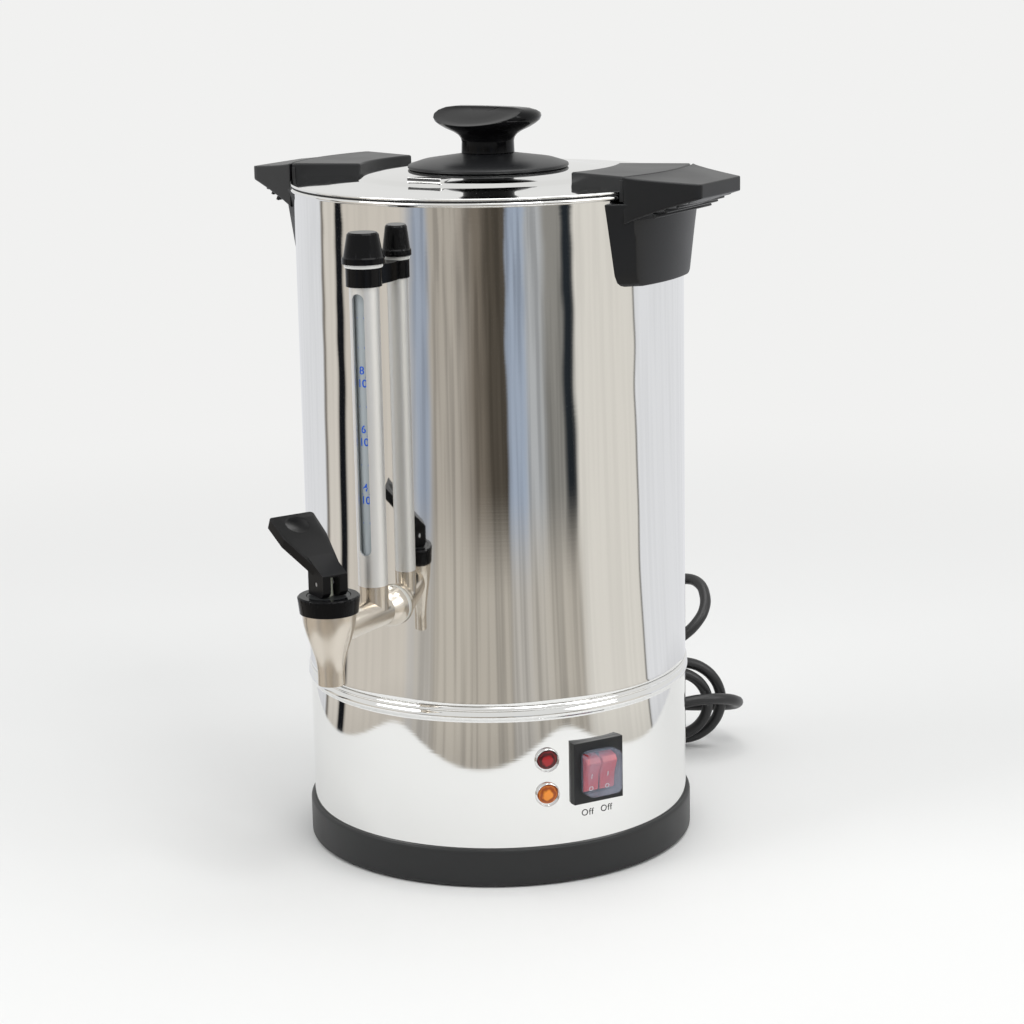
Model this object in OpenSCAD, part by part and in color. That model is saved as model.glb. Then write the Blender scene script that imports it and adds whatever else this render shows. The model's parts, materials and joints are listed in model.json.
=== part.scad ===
// Hot water urn with a level gauge, a lever tap and a lift-off lid.
// Frame: origin on the urn's axis in the plane it rests on, +Z up, tap towards -Y, handles on +X and -X.

/* [Body] */
// Outer diameter of the tank and of the skirt below it
body_d = 220; // [200:1:240]
// Height of the tank's lower edge above the resting plane
tank_z = 104.4; // [95:0.2:115]
// Height of the top of the tank's rolled rim
rim_z = 381.2; // [340:0.2:420]
// Thickness of the tank's and the skirt's sheet
sheet = 1; // [0.8:0.1:1.5]
// Radius of the bead that the rim is rolled into
rim_bead_r = 1.3; // [1:0.1:2]
// Height of the two ridges at the top of the skirt
ridge_h = 8; // [6:0.5:12]
// How far the ridges stand out of the skirt
ridge_out = 1.2; // [0.5:0.1:2]

/* [Base] */
// How far the base ring stands out of the skirt
ring_out = 2.4; // [1.5:0.1:4]
// Height of the base ring's upper edge
ring_h = 22.4; // [18:0.2:30]
// Gap between the base ring and the surface that the feet stand on
ring_gap = 1.2; // [0.8:0.1:2]
// Width of the base ring's inner flange
flange_w = 18; // [16:1:24]
// Thickness of that flange
flange_t = 2.5; // [2:0.1:4]
// Height of the feet
foot_h = 3.2; // [2.5:0.1:5]
// Diameter of the feet
foot_d = 16; // [12:1:18]
// Thickness of the bottom plate
plate_t = 1.2; // [0.8:0.1:2]

/* [Lid] */
// Thickness of the lid's sheet
lid_t = 0.8; // [0.6:0.1:1.2]
// Height of the lid's dome over its edge
dome_h = 5.8; // [3:0.2:10]
// Radius of the flat middle of the lid
dome_flat_r = 48; // [46:1:60]
// Thickness of the seal between lid and rim
lid_seal_t = 0.6; // [0.4:0.1:1.5]
// Depth of the collar that centres the lid in the tank
collar_h = 10; // [6:1:16]
// Length of the steam vent's slot
vent_w = 22; // [14:1:30]
// Distance of the steam vent's slot from the axis
vent_r = 68; // [64:1:74]

/* [Knob] */
// Diameter of the disc under the knob
disc_d = 91; // [70:1:94]
// Height of that disc at its middle
disc_h = 8.2; // [5:0.2:12]
// Diameter of the knob's head
knob_d = 61; // [50:1:70]
// Diameter of the knob's neck
neck_d = 30; // [20:1:36]
// Height of the knob above its disc
knob_h = 26; // [22:1:40]

/* [Handles] */
// Height of the lid lugs' and handles' top above the rim
grip_top = 10; // [8:0.5:14]
// Reach of a lid lug from the wall inwards
lug_reach = 36; // [30:1:50]
// Half width of a lug at its inner end
lug_in_w = 27.5; // [22:0.5:30]
// Half width of a lug and of its handle at the split between them
lug_out_w = 39.5; // [36:0.5:41]
// Wall of a lug outside the rim
lug_wall = 1.7; // [1.2:0.1:3]
// Running gap between a lug and what it passes
lug_gap = 0.8; // [0.5:0.1:1.5]
// Reach of a handle's tip from the wall
wing_reach = 36.5; // [25:0.5:50]
// Half width of a handle's tip
wing_tip_w = 23; // [16:0.5:28]
// Height of the apron below the rim
apron_h = 50; // [36:1:60]
// Half width of the apron at its top
apron_w = 47; // [44:1:48]
// Thickness of the apron at its foot
apron_t = 5; // [4:0.5:8]

/* [Tap] */
// Height of the shank's axis
tap_z = 159.5; // [145:0.5:180]
// Distance of the spout's axis from the wall
spout_reach = 61.2; // [50:0.2:80]
// Outer diameter of the shank
shank_d = 17; // [15:0.5:19]
// Diameter of the shank's thread
thread_d = 14; // [12:0.5:15]
// Bore of the shank
shank_bore = 9; // [6:0.5:10]
// Diameter of the flange on the wall
flange_d = 22.8; // [20:0.2:30]
// Outer diameter of the spout's mouth
mouth_d = 14.6; // [13.6:0.2:18]
// Bore of the spout's mouth
outlet_d = 12; // [8:0.5:12.4]
// Height of the spout's mouth
mouth_z = 130.6; // [120:0.2:140]
// Outer diameter of the spout's top
bowl_d = 28.8; // [26:0.2:32]
// Diameter of the bonnet
bonnet_d = 33.4; // [31:0.2:38]
// Height of the bonnet's skirt
bonnet_h = 9.3; // [8:0.1:12]
// Diameter of the valve's stem
stem_d = 5; // [4:0.5:6]
// Height of the lever's pin over the bonnet
pin_over = 6.6; // [6:0.1:9]
// Diameter of the lever's pin
pin_d = 2.5; // [2:0.1:3]
// Reach of the lever from its pin
lever_reach = 39; // [30:1:48]
// Rise of the lever's tip over its pin
lever_rise = 26.5; // [18:0.5:34]
// Width of the lever's paddle
paddle_w = 27; // [20:1:32]
// Width of the lever's fork
fork_w = 15; // [13:0.5:17]
// Direction that the lever points in, from the front towards +X
lever_turn = -115; // [-140:1:140]

/* [Gauge] */
// Gap between the guard tube and the wall
gauge_gap = 10.7; // [7:0.1:18]
// Outer diameter of the guard tube
guard_d = 16.2; // [15:0.2:18]
// Wall of the guard tube
guard_wall = 1.5; // [1:0.1:2]
// Height of the guard's foot
guard_z = 175.6; // [172:0.2:190]
// Height of the guard's top
guard_top = 352; // [300:1:372]
// Outer diameter of the gauge glass
glass_d = 10; // [8:0.5:11]
// Wall of the gauge glass
glass_wall = 1.4; // [1:0.1:2]
// Width of the window in the guard
window_w = 7; // [5:0.5:9]
// Distance from the guard's foot to the window
window_low = 17.4; // [12:0.2:30]
// Distance from the window to the guard's top
window_high = 17; // [16:0.5:30]
// Direction that the window faces, from the front towards +X
window_turn = 5; // [-20:1:20]
// Height of the clip's band
clip_h = 10; // [8:0.5:12]
// Height of the gauge's cap
cap_h = 16.4; // [12:0.2:22]
// Diameter of the cap's flange
cap_d = 23; // [20:0.5:26]

/* [Controls] */
// Direction of the lamps from the front towards +X
lamp_turn = 44.8; // [35:0.2:47]
// Height of the lower lamp
lamp_z = 52.6; // [45:0.1:60]
// Distance between the two lamps
lamp_pitch = 20; // [16:0.5:26]
// Diameter of a lamp's bezel
lamp_d = 14.4; // [11:0.2:16]
// Direction of the switch from the front towards +X
switch_turn = 60.2; // [58:0.1:70]
// Height of the switch's middle
switch_z = 63.2; // [55:0.1:72]
// Width of the switch's bezel
switch_w = 31.5; // [30:0.5:36]
// Height of the switch's bezel
switch_h = 35.5; // [32:0.5:40]
// Distance of the bezel's face from the urn's wall
switch_out = 3; // [2.6:0.2:6]
// Radius of a rocker about its pivot
rocker_r = 13.3; // [12.5:0.1:13.5]
// Width of a rocker
rocker_w = 9.5; // [8:0.1:9.6]
// Angle that a rocker turns from off to on
rocker_travel = 26; // [20:1:30]

/* [Cord] */
// Height of the cord's exit
cord_z = 75; // [70:1:85]
// Diameter of the cord
cord_d = 7; // [6:0.5:8]
// Length of the strain relief outside the wall
relief_l = 32; // [25:1:40]

/* [Hidden] */
$fn = 96;
body_r = body_d / 2;
in_r = body_r - sheet;
lug_in_r = body_r - lug_reach;
wing_r = body_r + wing_reach;
spout_r = body_r + spout_reach;
gauge_r = body_r + gauge_gap + guard_d / 2;
ring_r = body_r + ring_out;
floor_z = foot_h + flange_t;
plate_top = floor_z + plate_t;
rim_mid_r = body_r - sheet + rim_bead_r + 0.6;
rim_r = rim_mid_r + rim_bead_r;
lid_z = rim_z + lid_seal_t + 0.1;
edge_h = 1.4;
lid_top = lid_z + edge_h + dome_h;
grip_z = rim_z + grip_top;
lug_r = rim_r + 1 + lug_wall;
lug_foot = rim_z - 3.7;
handle_in_r = lug_r + lug_gap;
pocket_z = lug_foot - lug_gap;
bowl_z = tap_z + 10.9;
bonnet_top = bowl_z + bonnet_h;
recess = 1.5;
pin_z = bonnet_top + pin_over;
seat_z = tap_z - 7.5;
chamber_r = bowl_d / 2 - 6;
cap_z = guard_top - 1.5;
clip_z = cap_z - 2.1 - clip_h;
cord_turn = 31;

// Route of the lead from the strain relief to the hank, in a frame turned by cord_turn about Z.
lead_route = [
    [73, 122, 75], [76, 127, 75], [80, 134, 76], [85, 142, 79], [90, 150, 84], [96, 156, 91], [104, 160, 98],
    [113, 159, 104], [122, 154, 107], [129, 146, 106], [132, 136, 101], [131, 127, 94], [126, 121, 87],
    [118, 118, 80], [109, 120, 74], [99, 124, 68], [89, 130, 63], [78, 137, 59]
];
// Route of the tail from the hank, round its end, to the plug, in the same frame.
tail_route = [
    [44, 124, 5], [58, 120, 8], [72, 115, 16], [87, 111, 25], [103, 109, 33], [119, 109, 38], [133, 111, 39],
    [144, 117, 37], [151, 126, 33], [153, 138, 28], [149, 150, 23], [140, 160, 20], [128, 166, 18],
    [114, 168, 18], [99, 168, 18], [84, 168, 18]
];
hank_x = 60.6;
hank_run = 110;
hank_bend_r = 26.5;
hank_strands = 3;
hank_tuck = 4.5;
hank_near = 120.2;
hank_far = hank_near + hank_strands * cord_d;
tie_t = 1.2;
tie_w = 9;
tie_x = 30;
hank_r = hank_bend_r + cord_d / 2;
hank_z = hank_r + tie_t + 0.1;
plug_l = 36;
plug_r = 18;
plug_boot = 22;

// Places children on the wall: their X runs along the wall, their Y up and their Z straight out.
module at_wall(turn, z, r) {
    rotate([0, 0, turn]) translate([0, -r, z]) rotate([90, 0, 0]) children();
}

module ring(out_r, bore_r, h) {
    difference() {
        cylinder(r = out_r, h = h);
        translate([0, 0, -1]) cylinder(r = bore_r, h = h + 2);
    }
}

// The space inside a cylinder about the urn's axis.
module inside(r, low = -10, high = 500) {
    translate([0, 0, low]) cylinder(r = r, h = high - low, $fn = 180);
}

/* Base */

foot_r = ring_r - flange_w / 2 - 3.4;
screw_r = 2;
head_h = 1.4;
foot_count = 4;

module at_feet() {
    for (i = [0:foot_count - 1])
        rotate([0, 0, (i + 0.5) * 360 / foot_count]) translate([foot_r, 0, 0]) children();
}

module base_ring() {
    fit_r = body_r + 0.1;
    in_flange = ring_r - flange_w - ring_out;
    color("#2b2c2c") difference() {
        rotate_extrude($fn = 180) polygon([[in_flange, foot_h], [ring_r - 3.9, foot_h],
            [ring_r - 2.9, ring_gap], [ring_r - 1, ring_gap], [ring_r, ring_gap + 1], [ring_r, ring_h - 1],
            [ring_r - 1, ring_h], [fit_r, ring_h], [fit_r, floor_z], [in_flange, floor_z]]);
        at_feet() cylinder(r = screw_r + 0.1, h = floor_z + 1);
    }
}

module feet() {
    color("#1c1c1c") at_feet() difference() {
        cylinder(r = foot_d / 2, h = foot_h);
        translate([0, 0, -1]) cylinder(r = screw_r + 0.1, h = foot_h + 2);
        translate([0, 0, -1]) cylinder(r = 4, h = 1 + head_h + 0.4);
    }
}

module foot_screws() {
    color("#b9bbbd") at_feet() {
        translate([0, 0, 0.4]) cylinder(r = 3.5, h = head_h);
        translate([0, 0, 0.4]) cylinder(r = screw_r, h = plate_top + 4);
    }
}

module foot_nuts() {
    color("#b9bbbd") at_feet() translate([0, 0, plate_top]) difference() {
        cylinder(r = 4.2, h = 3, $fn = 6);
        translate([0, 0, -1]) cylinder(r = screw_r + 0.02, h = 5);
    }
}

module bottom_plate() {
    slots = 12;
    slot_r = 72;
    slot_l = 16;
    slot_w = 3;
    color("#9a9c9e") translate([0, 0, floor_z]) difference() {
        cylinder(r = in_r - 0.3, h = plate_t, $fn = 180);
        at_feet() translate([0, 0, -1]) cylinder(r = screw_r + 0.1, h = plate_t + 2);
        for (i = [0:slots - 1]) rotate([0, 0, (i + 0.5) * 360 / slots])
            translate([slot_r, -slot_w / 2, -1]) cube([slot_l, slot_w, plate_t + 2]);
    }
}

/* Body */

module wall_hole(turn, z, r) {
    at_wall(turn, z, in_r - 8) cylinder(r = r, h = 20);
}

switch_body_w = 25.4;
switch_body_h = 27.6;
lamp_hole_r = 4.6;
relief_r = 6.9;

module skirt() {
    low = tank_z - ridge_h;
    step = ridge_h / 8;
    ledge_in = in_r - 9;
    color("#c9c9c6") difference() {
        rotate_extrude($fn = 180) polygon([[in_r, floor_z], [body_r, floor_z], [body_r, low],
            [body_r + ridge_out, low + step], [body_r + ridge_out, low + 4 * step],
            [body_r + 0.2, low + 5 * step], [body_r + ridge_out * 0.8, low + 6 * step],
            [body_r + ridge_out * 0.8, low + 7 * step], [body_r, tank_z], [ledge_in, tank_z],
            [ledge_in, tank_z - sheet], [in_r, tank_z - sheet]]);
        at_wall(switch_turn, switch_z, in_r - 8)
            translate([-switch_body_w / 2 - 0.3, -switch_body_h / 2 - 0.3, 0])
            cube([switch_body_w + 0.6, switch_body_h + 0.6, 20]);
        for (z = [lamp_z, lamp_z + lamp_pitch]) wall_hole(lamp_turn, z, lamp_hole_r);
        wall_hole(180, cord_z, relief_r + 0.1);
    }
}

handle_screw_z = rim_z - 30;
handle_screw_turn = 8;
clip_mid_z = clip_z + clip_h / 2;

module at_handle_screws() {
    for (side = [90, -90], turn = [-handle_screw_turn, handle_screw_turn])
        at_wall(side + turn, handle_screw_z, 0) children();
}

module tank() {
    color("#cfcfcc") difference() {
        rotate_extrude($fn = 180) {
            polygon([[0, tank_z], [body_r - 1, tank_z], [body_r, tank_z + 1], [body_r, rim_z - rim_bead_r],
                [in_r, rim_z - rim_bead_r], [in_r, tank_z + sheet + 1], [in_r - 1, tank_z + sheet],
                [0, tank_z + sheet]]);
            translate([rim_mid_r, rim_z - rim_bead_r]) circle(r = rim_bead_r, $fn = 32);
            translate([in_r, rim_z - 2 * rim_bead_r]) square([rim_mid_r - in_r, 2 * rim_bead_r]);
        }
        wall_hole(0, tap_z, thread_d / 2 + 0.1);
        wall_hole(0, clip_mid_z, screw_r + 0.1);
        at_handle_screws() translate([0, 0, in_r - 8]) cylinder(r = screw_r + 0.1, h = 20);
    }
}

/* Heating */

spreader_t = 3;
spreader_z = tank_z - spreader_t;

module heat_spreader() {
    color("#b4b6b8") translate([0, 0, spreader_z]) cylinder(r = body_r - 38, h = spreader_t);
}

// A bent heater rod with its gap towards the back, and a cold end that hangs down on each side of the gap.
module element(r, rod_r, gap, leg) {
    z = spreader_z - rod_r;
    rotate([0, 0, 90 + gap / 2]) translate([0, 0, z])
        rotate_extrude(angle = 360 - gap) translate([r, 0]) circle(r = rod_r, $fn = 24);
    for (side = [-1, 1]) rotate([0, 0, 90 + side * gap / 2]) translate([r, 0, z - leg])
        cylinder(r = rod_r * 1.25, h = leg + rod_r);
}

boil_r = 55;
boil_gap = 40;
boil_leg = 12;
boil_rod_r = 4;
warm_r = 34;
warm_gap = 60;
warm_leg = 12;
warm_rod_r = 3;

module element_boil() {
    color("#6f6d6a") element(boil_r, boil_rod_r, boil_gap, boil_leg);
}

module element_warm() {
    color("#7a7875") element(warm_r, warm_rod_r, warm_gap, warm_leg);
}

module thermostat() {
    can_r = 12;
    can_h = 9;
    tag_h = 7;
    color("#d8d4c8") {
        translate([0, 0, spreader_z - can_h]) cylinder(r = can_r, h = can_h);
        for (x = [-5, 5])
            translate([x - 0.4, -3.2, spreader_z - can_h - tag_h]) cube([0.8, 6.4, tag_h + 0.5]);
    }
}

module thermal_cutout() {
    at_r = 44;
    can_r = 6;
    can_h = 7;
    tag_h = 5;
    color("#e2ddd0") rotate([0, 0, -10]) translate([at_r, 0, 0]) {
        translate([0, 0, spreader_z - can_h]) cylinder(r = can_r, h = can_h);
        for (x = [-3, 3]) translate([x - 0.4, -2, spreader_z - can_h - tag_h]) cube([0.8, 4, tag_h + 0.5]);
    }
}

block_y = 60;
block_l = 46;
block_w = 18;
block_h = 18;
block_top = plate_top + block_h;

module terminal_block() {
    color("#d9d9d4") difference() {
        translate([-block_l / 2, block_y - block_w / 2, plate_top]) cube([block_l, block_w, block_h]);
        for (i = [-2:2]) translate([i * 9, block_y, block_top - 6]) cylinder(r = 2, h = 10, $fn = 24);
    }
}

switch_back_r = 82;
wire_r = 1.5;
wire_way_r = block_y + 4;

function polar(r, turn, z) = [r * sin(turn), -r * cos(turn), z];

// One wire from a switch terminal, round the skirt at height z and down to the terminal block.
module switch_wire(turn, z) {
    from = switch_turn + turn;
    to = 180 - turn * 2;
    start_z = switch_z - 6;
    steps = 9;
    tube(concat(
        [polar(switch_back_r - 0.3, from, start_z), polar(wire_way_r + 5, from, start_z),
            polar(wire_way_r, from, start_z - 5), polar(wire_way_r, from, z + 4)],
        [for (i = [1:steps - 1]) polar(wire_way_r, from + (to - from) * i / steps, z)],
        [polar(wire_way_r, to, z - 4), polar(wire_way_r, to, block_top)]), wire_r, 8);
}

module wiring() {
    mains_y = block_y - 5;
    low_z = 34;
    high_z = 40;
    color("#b04a3c") {
        switch_wire(-4, low_z);
        switch_wire(4, high_z);
        for (side = [-1, 1]) rotate([0, 0, 180 + side * boil_gap / 2]) translate([0, -boil_r, block_top])
            cylinder(r = wire_r, h = spreader_z - boil_rod_r - boil_leg - block_top);
        tube([[0, in_r - 4.2, cord_z], [0, mains_y + 8, cord_z], [0, mains_y + 2, cord_z - 3],
            [0, mains_y, cord_z - 9], [0, mains_y, block_top]], 2 * wire_r, 8);
    }
}

/* Cord */

module strain_relief() {
    grooves = 5;
    groove_pitch = 4.6;
    color("#242424") at_wall(180, cord_z, 0) difference() {
        rotate_extrude() {
            polygon([[0, in_r - 4], [9, in_r - 4], [9, in_r - 0.6], [relief_r, in_r - 0.6],
                [relief_r, body_r + 0.6], [9, body_r + 0.6], [9, body_r + 2.6], [6.6, body_r + 3.4],
                [4.6, body_r + relief_l], [0, body_r + relief_l]]);
        }
        for (i = [1:grooves]) translate([0, 0, body_r + 3 + i * groove_pitch]) ring(10, 4.9 - i * 0.12, 1.4);
    }
}

// The directions along and across a route, for sweeping a ring of points along it.
function unit(v) = v / norm(v);
function along(route, i) =
    unit(route[min(i + 1, len(route) - 1)] - route[max(i - 1, 0)]);
function across(d) = unit(cross(d, abs(d[2]) > 0.9 ? [1, 0, 0] : [0, 0, 1]));
function next_across(d, old) = unit(old - d * (old * d));
function frames(route, i = 0, found = []) =
    i == len(route) ? found :
    frames(route, i + 1, concat(found,
        [i == 0 ? across(along(route, 0)) : next_across(along(route, i), found[i - 1])]));

// A tube of radius r along a route, with flat ends.
module tube(route, r, sides) {
    n = len(route);
    side = frames(route);
    points = [for (i = [0:n - 1]) for (k = [0:sides - 1])
        let (d = along(route, i), u = side[i], v = cross(d, u), a = 360 * k / sides)
        route[i] + r * (u * cos(a) + v * sin(a))];
    walls = [for (i = [0:n - 2]) for (k = [0:sides - 1])
        let (a = i * sides + k, b = i * sides + (k + 1) % sides)
        [[a, b, b + sides], [a, b + sides, a + sides]]];
    faces = concat([for (pair = walls) each pair],
        [[for (k = [sides - 1:-1:0]) k]], [[for (k = [0:sides - 1]) (n - 1) * sides + k]]);
    polyhedron(points, [for (f = faces) [for (k = [len(f) - 1:-1:0]) f[k]]]);
}

// The frame that the cord's routes are stated in, with X along the hank.
module cord_frame() {
    rotate([0, 0, cord_turn]) children();
}

module cord_lead() {
    color("#1f1f1f") cord_frame() tube(lead_route, cord_d / 2, 8);
}

module cord_tail() {
    color("#1f1f1f") cord_frame() tube(tail_route, cord_d / 2, 8);
}

module hank_outline(r, run) {
    square([run, 2 * r], center = true);
    for (side = [-1, 1]) translate([side * run / 2, 0]) circle(r = r);
}

module cord_hank() {
    color("#1f1f1f") cord_frame() translate([hank_x, hank_far, hank_z]) rotate([90, 0, 0])
        linear_extrude(hank_far - hank_near) difference() {
            hank_outline(hank_r, hank_run);
            translate([-hank_tuck / 2, 0]) hank_outline(hank_r - cord_d - hank_tuck, hank_run - hank_tuck);
        }
}

module cord_tie() {
    deep = hank_far - hank_near;
    high = 2 * hank_r;
    color("#3a3a3a") cord_frame() translate([tie_x - tie_w / 2, hank_near, hank_z - hank_r]) difference() {
        translate([0, -tie_t, -tie_t]) cube([tie_w, deep + 2 * tie_t, high + 2 * tie_t]);
        translate([-1, 0, 0]) cube([tie_w + 2, deep, high]);
    }
}

module at_plug() {
    last = tail_route[len(tail_route) - 1];
    cord_frame() translate(last) rotate([0, -90, 0]) children();
}

module plug_body() {
    color("#232323") at_plug() rotate_extrude() polygon([[0, 0], [4.6, 0], [6.4, plug_boot - 4],
        [10, plug_boot], [plug_r - 1.5, plug_boot + 9], [plug_r - 2.5, plug_boot + 16],
        [plug_r - 0.4, plug_boot + 21], [plug_r - 0.4, plug_boot + plug_l - 1],
        [plug_r - 1.4, plug_boot + plug_l], [0, plug_boot + plug_l]]);
}

module plug_pins() {
    color("#c8c8c8") at_plug() for (y = [-9.5, 9.5]) translate([0, y, plug_boot + plug_l]) {
        cylinder(r = 2.4, h = 17.5, $fn = 32);
        translate([0, 0, 17.5]) cylinder(r1 = 2.4, r2 = 1.6, h = 1.5, $fn = 32);
    }
}

/* Tap */

bowl_bend_low = mouth_z + 6.4;
bowl_bend_high = bowl_z - 0.4;

// Radius of the spout's outside at a height: a straight mouth that swells into the bowl.
function spout_out(z) =
    let (t = max(0, min(1, (z - bowl_bend_low) / (bowl_bend_high - bowl_bend_low))))
    mouth_d / 2 + (bowl_d - mouth_d) / 2 * (0.5 - 0.5 * cos(180 * t));

module at_spout() {
    translate([0, -spout_r, 0]) children();
}

module tap_body() {
    steps = 14;
    bell_l = 10;
    bell_steps = 6;
    flange_face = body_r + 1.4;
    tail_r = in_r - 17;
    color("#b9ab98") difference() {
        union() {
            at_spout() rotate_extrude() polygon(concat([[0, mouth_z], [mouth_d / 2, mouth_z]],
                [for (i = [0:steps]) let (z = bowl_bend_low + i * (bowl_bend_high - bowl_bend_low) / steps)
                    [spout_out(z), z]], [[bowl_d / 2, bowl_z], [0, bowl_z]]));
            at_wall(0, tap_z, flange_face) cylinder(r = shank_d / 2, h = spout_r - flange_face);
            at_wall(0, tap_z, tail_r) cylinder(r = thread_d / 2, h = flange_face - tail_r + 1);
            at_wall(0, tap_z, flange_face) rotate_extrude() polygon(concat([[0, 0], [flange_d / 2, 0]],
                [for (i = [0:bell_steps]) let (a = 90 * i / bell_steps)
                    [shank_d / 2 + (flange_d - shank_d) / 2 * cos(a), 1 + (bell_l - 1) * (1 - cos(a)) * 0.5
                        + (bell_l - 1) * 0.5 * sin(a)]],
                [[0, bell_l]]));
            translate([0, -gauge_r, tap_z]) cylinder(r = guard_d / 2 + 0.1, h = guard_z - tap_z);
        }
        at_spout() translate([0, 0, mouth_z - 1]) cylinder(r = outlet_d / 2, h = bowl_z);
        at_spout() translate([0, 0, seat_z]) cylinder(r = chamber_r, h = bowl_z);
        at_wall(0, tap_z, tail_r - 1) cylinder(r = shank_bore / 2, h = spout_r - tail_r);
        translate([0, -gauge_r, tap_z]) cylinder(r = shank_bore / 2 - 1, h = 30);
        translate([0, -gauge_r, guard_z - 9.5]) cylinder(r = guard_d / 2 - guard_wall - 0.2, h = 30);
    }
}

module tap_washer() {
    color("#8f8f8f") difference() {
        at_wall(0, tap_z, body_r - 3) ring(flange_d / 2 - 0.4, thread_d / 2 + 0.05, 4.4);
        inside(body_r);
    }
}

module tap_seal() {
    color("#8f8f8f") intersection() {
        at_wall(0, tap_z, in_r - 3.5) ring(11, thread_d / 2 + 0.05, 6);
        inside(in_r);
    }
}

module tap_nut() {
    color("#b9ab98") at_wall(0, tap_z, in_r - 8.5) difference() {
        cylinder(r = 12.5, h = 5, $fn = 6);
        translate([0, 0, -1]) cylinder(r = thread_d / 2 + 0.02, h = 7);
    }
}

module tap_bonnet() {
    grooves = 28;
    out_r = bonnet_d / 2;
    color("#1d1d1d") at_spout() difference() {
        rotate_extrude() polygon([[out_r - 1, bowl_z], [out_r, bonnet_top - 0.8], [out_r - 0.8, bonnet_top],
            [11.9, bonnet_top], [11.9, bonnet_top - recess], [stem_d / 2 + 0.2, bonnet_top - recess],
            [stem_d / 2 + 0.2, bonnet_top - recess - 2], [6.5, bonnet_top - recess - 2], [6.5, bowl_z - 4.4],
            [chamber_r - 0.1, bowl_z - 4.4], [chamber_r - 0.1, bowl_z]]);
        for (i = [0:grooves - 1]) rotate([0, 0, i * 360 / grooves])
            translate([out_r + 0.1, 0, bowl_z + 1.2]) cylinder(r = 0.4, h = bonnet_h, $fn = 16);
    }
}

module swivel_washer() {
    color("#202020") at_spout() translate([0, 0, bonnet_top - recess])
        ring(11.5, stem_d / 2 + 0.2, recess - 0.2);
}

stem_top = pin_z + 3.2;
collar_z = seat_z + 11;

module valve_stem() {
    color("#d9dccb") difference() {
        at_spout() {
            translate([0, 0, seat_z + 3]) cylinder(r = stem_d / 2, h = stem_top - seat_z - 3);
            translate([0, 0, collar_z]) cylinder(r = 5.6, h = 1.5);
        }
        at_lever() rotate([0, 90, 0]) cylinder(r = pin_d / 2 + 0.05, h = 20, center = true, $fn = 32);
    }
}

module valve_cup() {
    color("#b5b5b0") at_spout() rotate_extrude() polygon([[0, seat_z], [7.6, seat_z], [7.6, seat_z + 1.5],
        [4.6, seat_z + 9.5], [stem_d / 2 + 0.02, seat_z + 9.5], [stem_d / 2 + 0.02, seat_z + 3],
        [0, seat_z + 3]]);
}

spring_low = collar_z + 1.5;
spring_high = bonnet_top - recess - 2;

module valve_spring() {
    turns = 4;
    per_turn = 14;
    wire_r = 0.5;
    mean_r = 4.9;
    n = turns * per_turn;
    color("#c0c2c4") at_spout() tube([for (i = [0:n]) let (a = 360 * i / per_turn)
        [mean_r * cos(a), mean_r * sin(a), spring_low + 0.55 + (spring_high - spring_low - 1.1) * i / n]],
        wire_r, 6);
}

// The lever's own frame: origin on its pin, pointing towards -Y.
module at_lever() {
    translate([0, -spout_r, pin_z]) rotate([0, 0, lever_turn]) children();
}

heel_w = 7.4;
heel_gap = 0.3;
heel_z = -(pin_over + 0.2 - heel_gap);
blade_t = 5.6;
blade_tilt = atan2(lever_rise - 12.2, lever_reach - 8);

// A thin slice across the lever at a reach, a rise, a width and a thickness.
module lever_slice(reach, rise, w, t, corner = 1.5) {
    translate([0, -reach, rise]) rotate([-blade_tilt, 0, 0])
        for (side = [-1, 1]) translate([side * (w / 2 - corner), 0, 0])
            cylinder(r = corner, h = t, center = true, $fn = 16);
}

module tap_lever() {
    gap_top = 4.5;
    color("#191919") at_lever() difference() {
        union() {
            rotate([90, 0, 90]) translate([0, 0, -fork_w / 2]) linear_extrude(fork_w)
                polygon([[heel_w - 2, heel_z], [7.5, heel_z + 2.5], [7.5, 5.4], [-8, 13.6], [-8, heel_z + 1],
                    [-heel_w, heel_z]]);
            hull() {
                lever_slice(1.5, 6.8, fork_w, 5.2);
                lever_slice(lever_reach * 0.62, lever_rise * 0.8 - 2.6, paddle_w - 1, blade_t, 3);
            }
            hull() {
                lever_slice(lever_reach * 0.62, lever_rise * 0.8 - 2.6, paddle_w - 1, blade_t, 3);
                lever_slice(lever_reach - 1.6, lever_rise, paddle_w, blade_t, 2);
            }
        }
        translate([-stem_d / 2 - 0.3, -20, heel_z - 5]) cube([stem_d + 0.6, 40, gap_top - heel_z + 5]);
        rotate([0, 90, 0]) cylinder(r = pin_d / 2, h = fork_w + 2, center = true, $fn = 32);
        translate([0, -lever_reach * 0.76, lever_rise * 0.86]) rotate([-blade_tilt, 0, 0])
            translate([0, 0, blade_t / 2 + 23.6]) sphere(r = 25);
    }
}

module lever_pin() {
    color("#c0c2c4") at_lever() rotate([0, 90, 0])
        cylinder(r = pin_d / 2, h = fork_w - 0.6, center = true, $fn = 32);
}

/* Gauge */

module at_gauge() {
    translate([0, -gauge_r, 0]) children();
}

guard_in_r = guard_d / 2 - guard_wall;

module gauge_guard() {
    low = guard_z + window_low + window_w / 2;
    high = guard_top - window_high - window_w / 2;
    color("#bcbebf") at_gauge() difference() {
        translate([0, 0, guard_z]) ring(guard_d / 2, guard_in_r, guard_top - guard_z);
        rotate([0, 0, window_turn]) {
            translate([-window_w / 2, -guard_d, low]) cube([window_w, guard_d, high - low]);
            for (z = [low, high]) translate([0, 0, z]) rotate([90, 0, 0])
                cylinder(r = window_w / 2, h = guard_d, $fn = 48);
        }
    }
}

module gauge_glass() {
    low = guard_z - 7.5;
    color("#dfe8ea", 0.5) at_gauge() translate([0, 0, low])
        ring(glass_d / 2, glass_d / 2 - glass_wall, guard_top - low);
}

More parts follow.
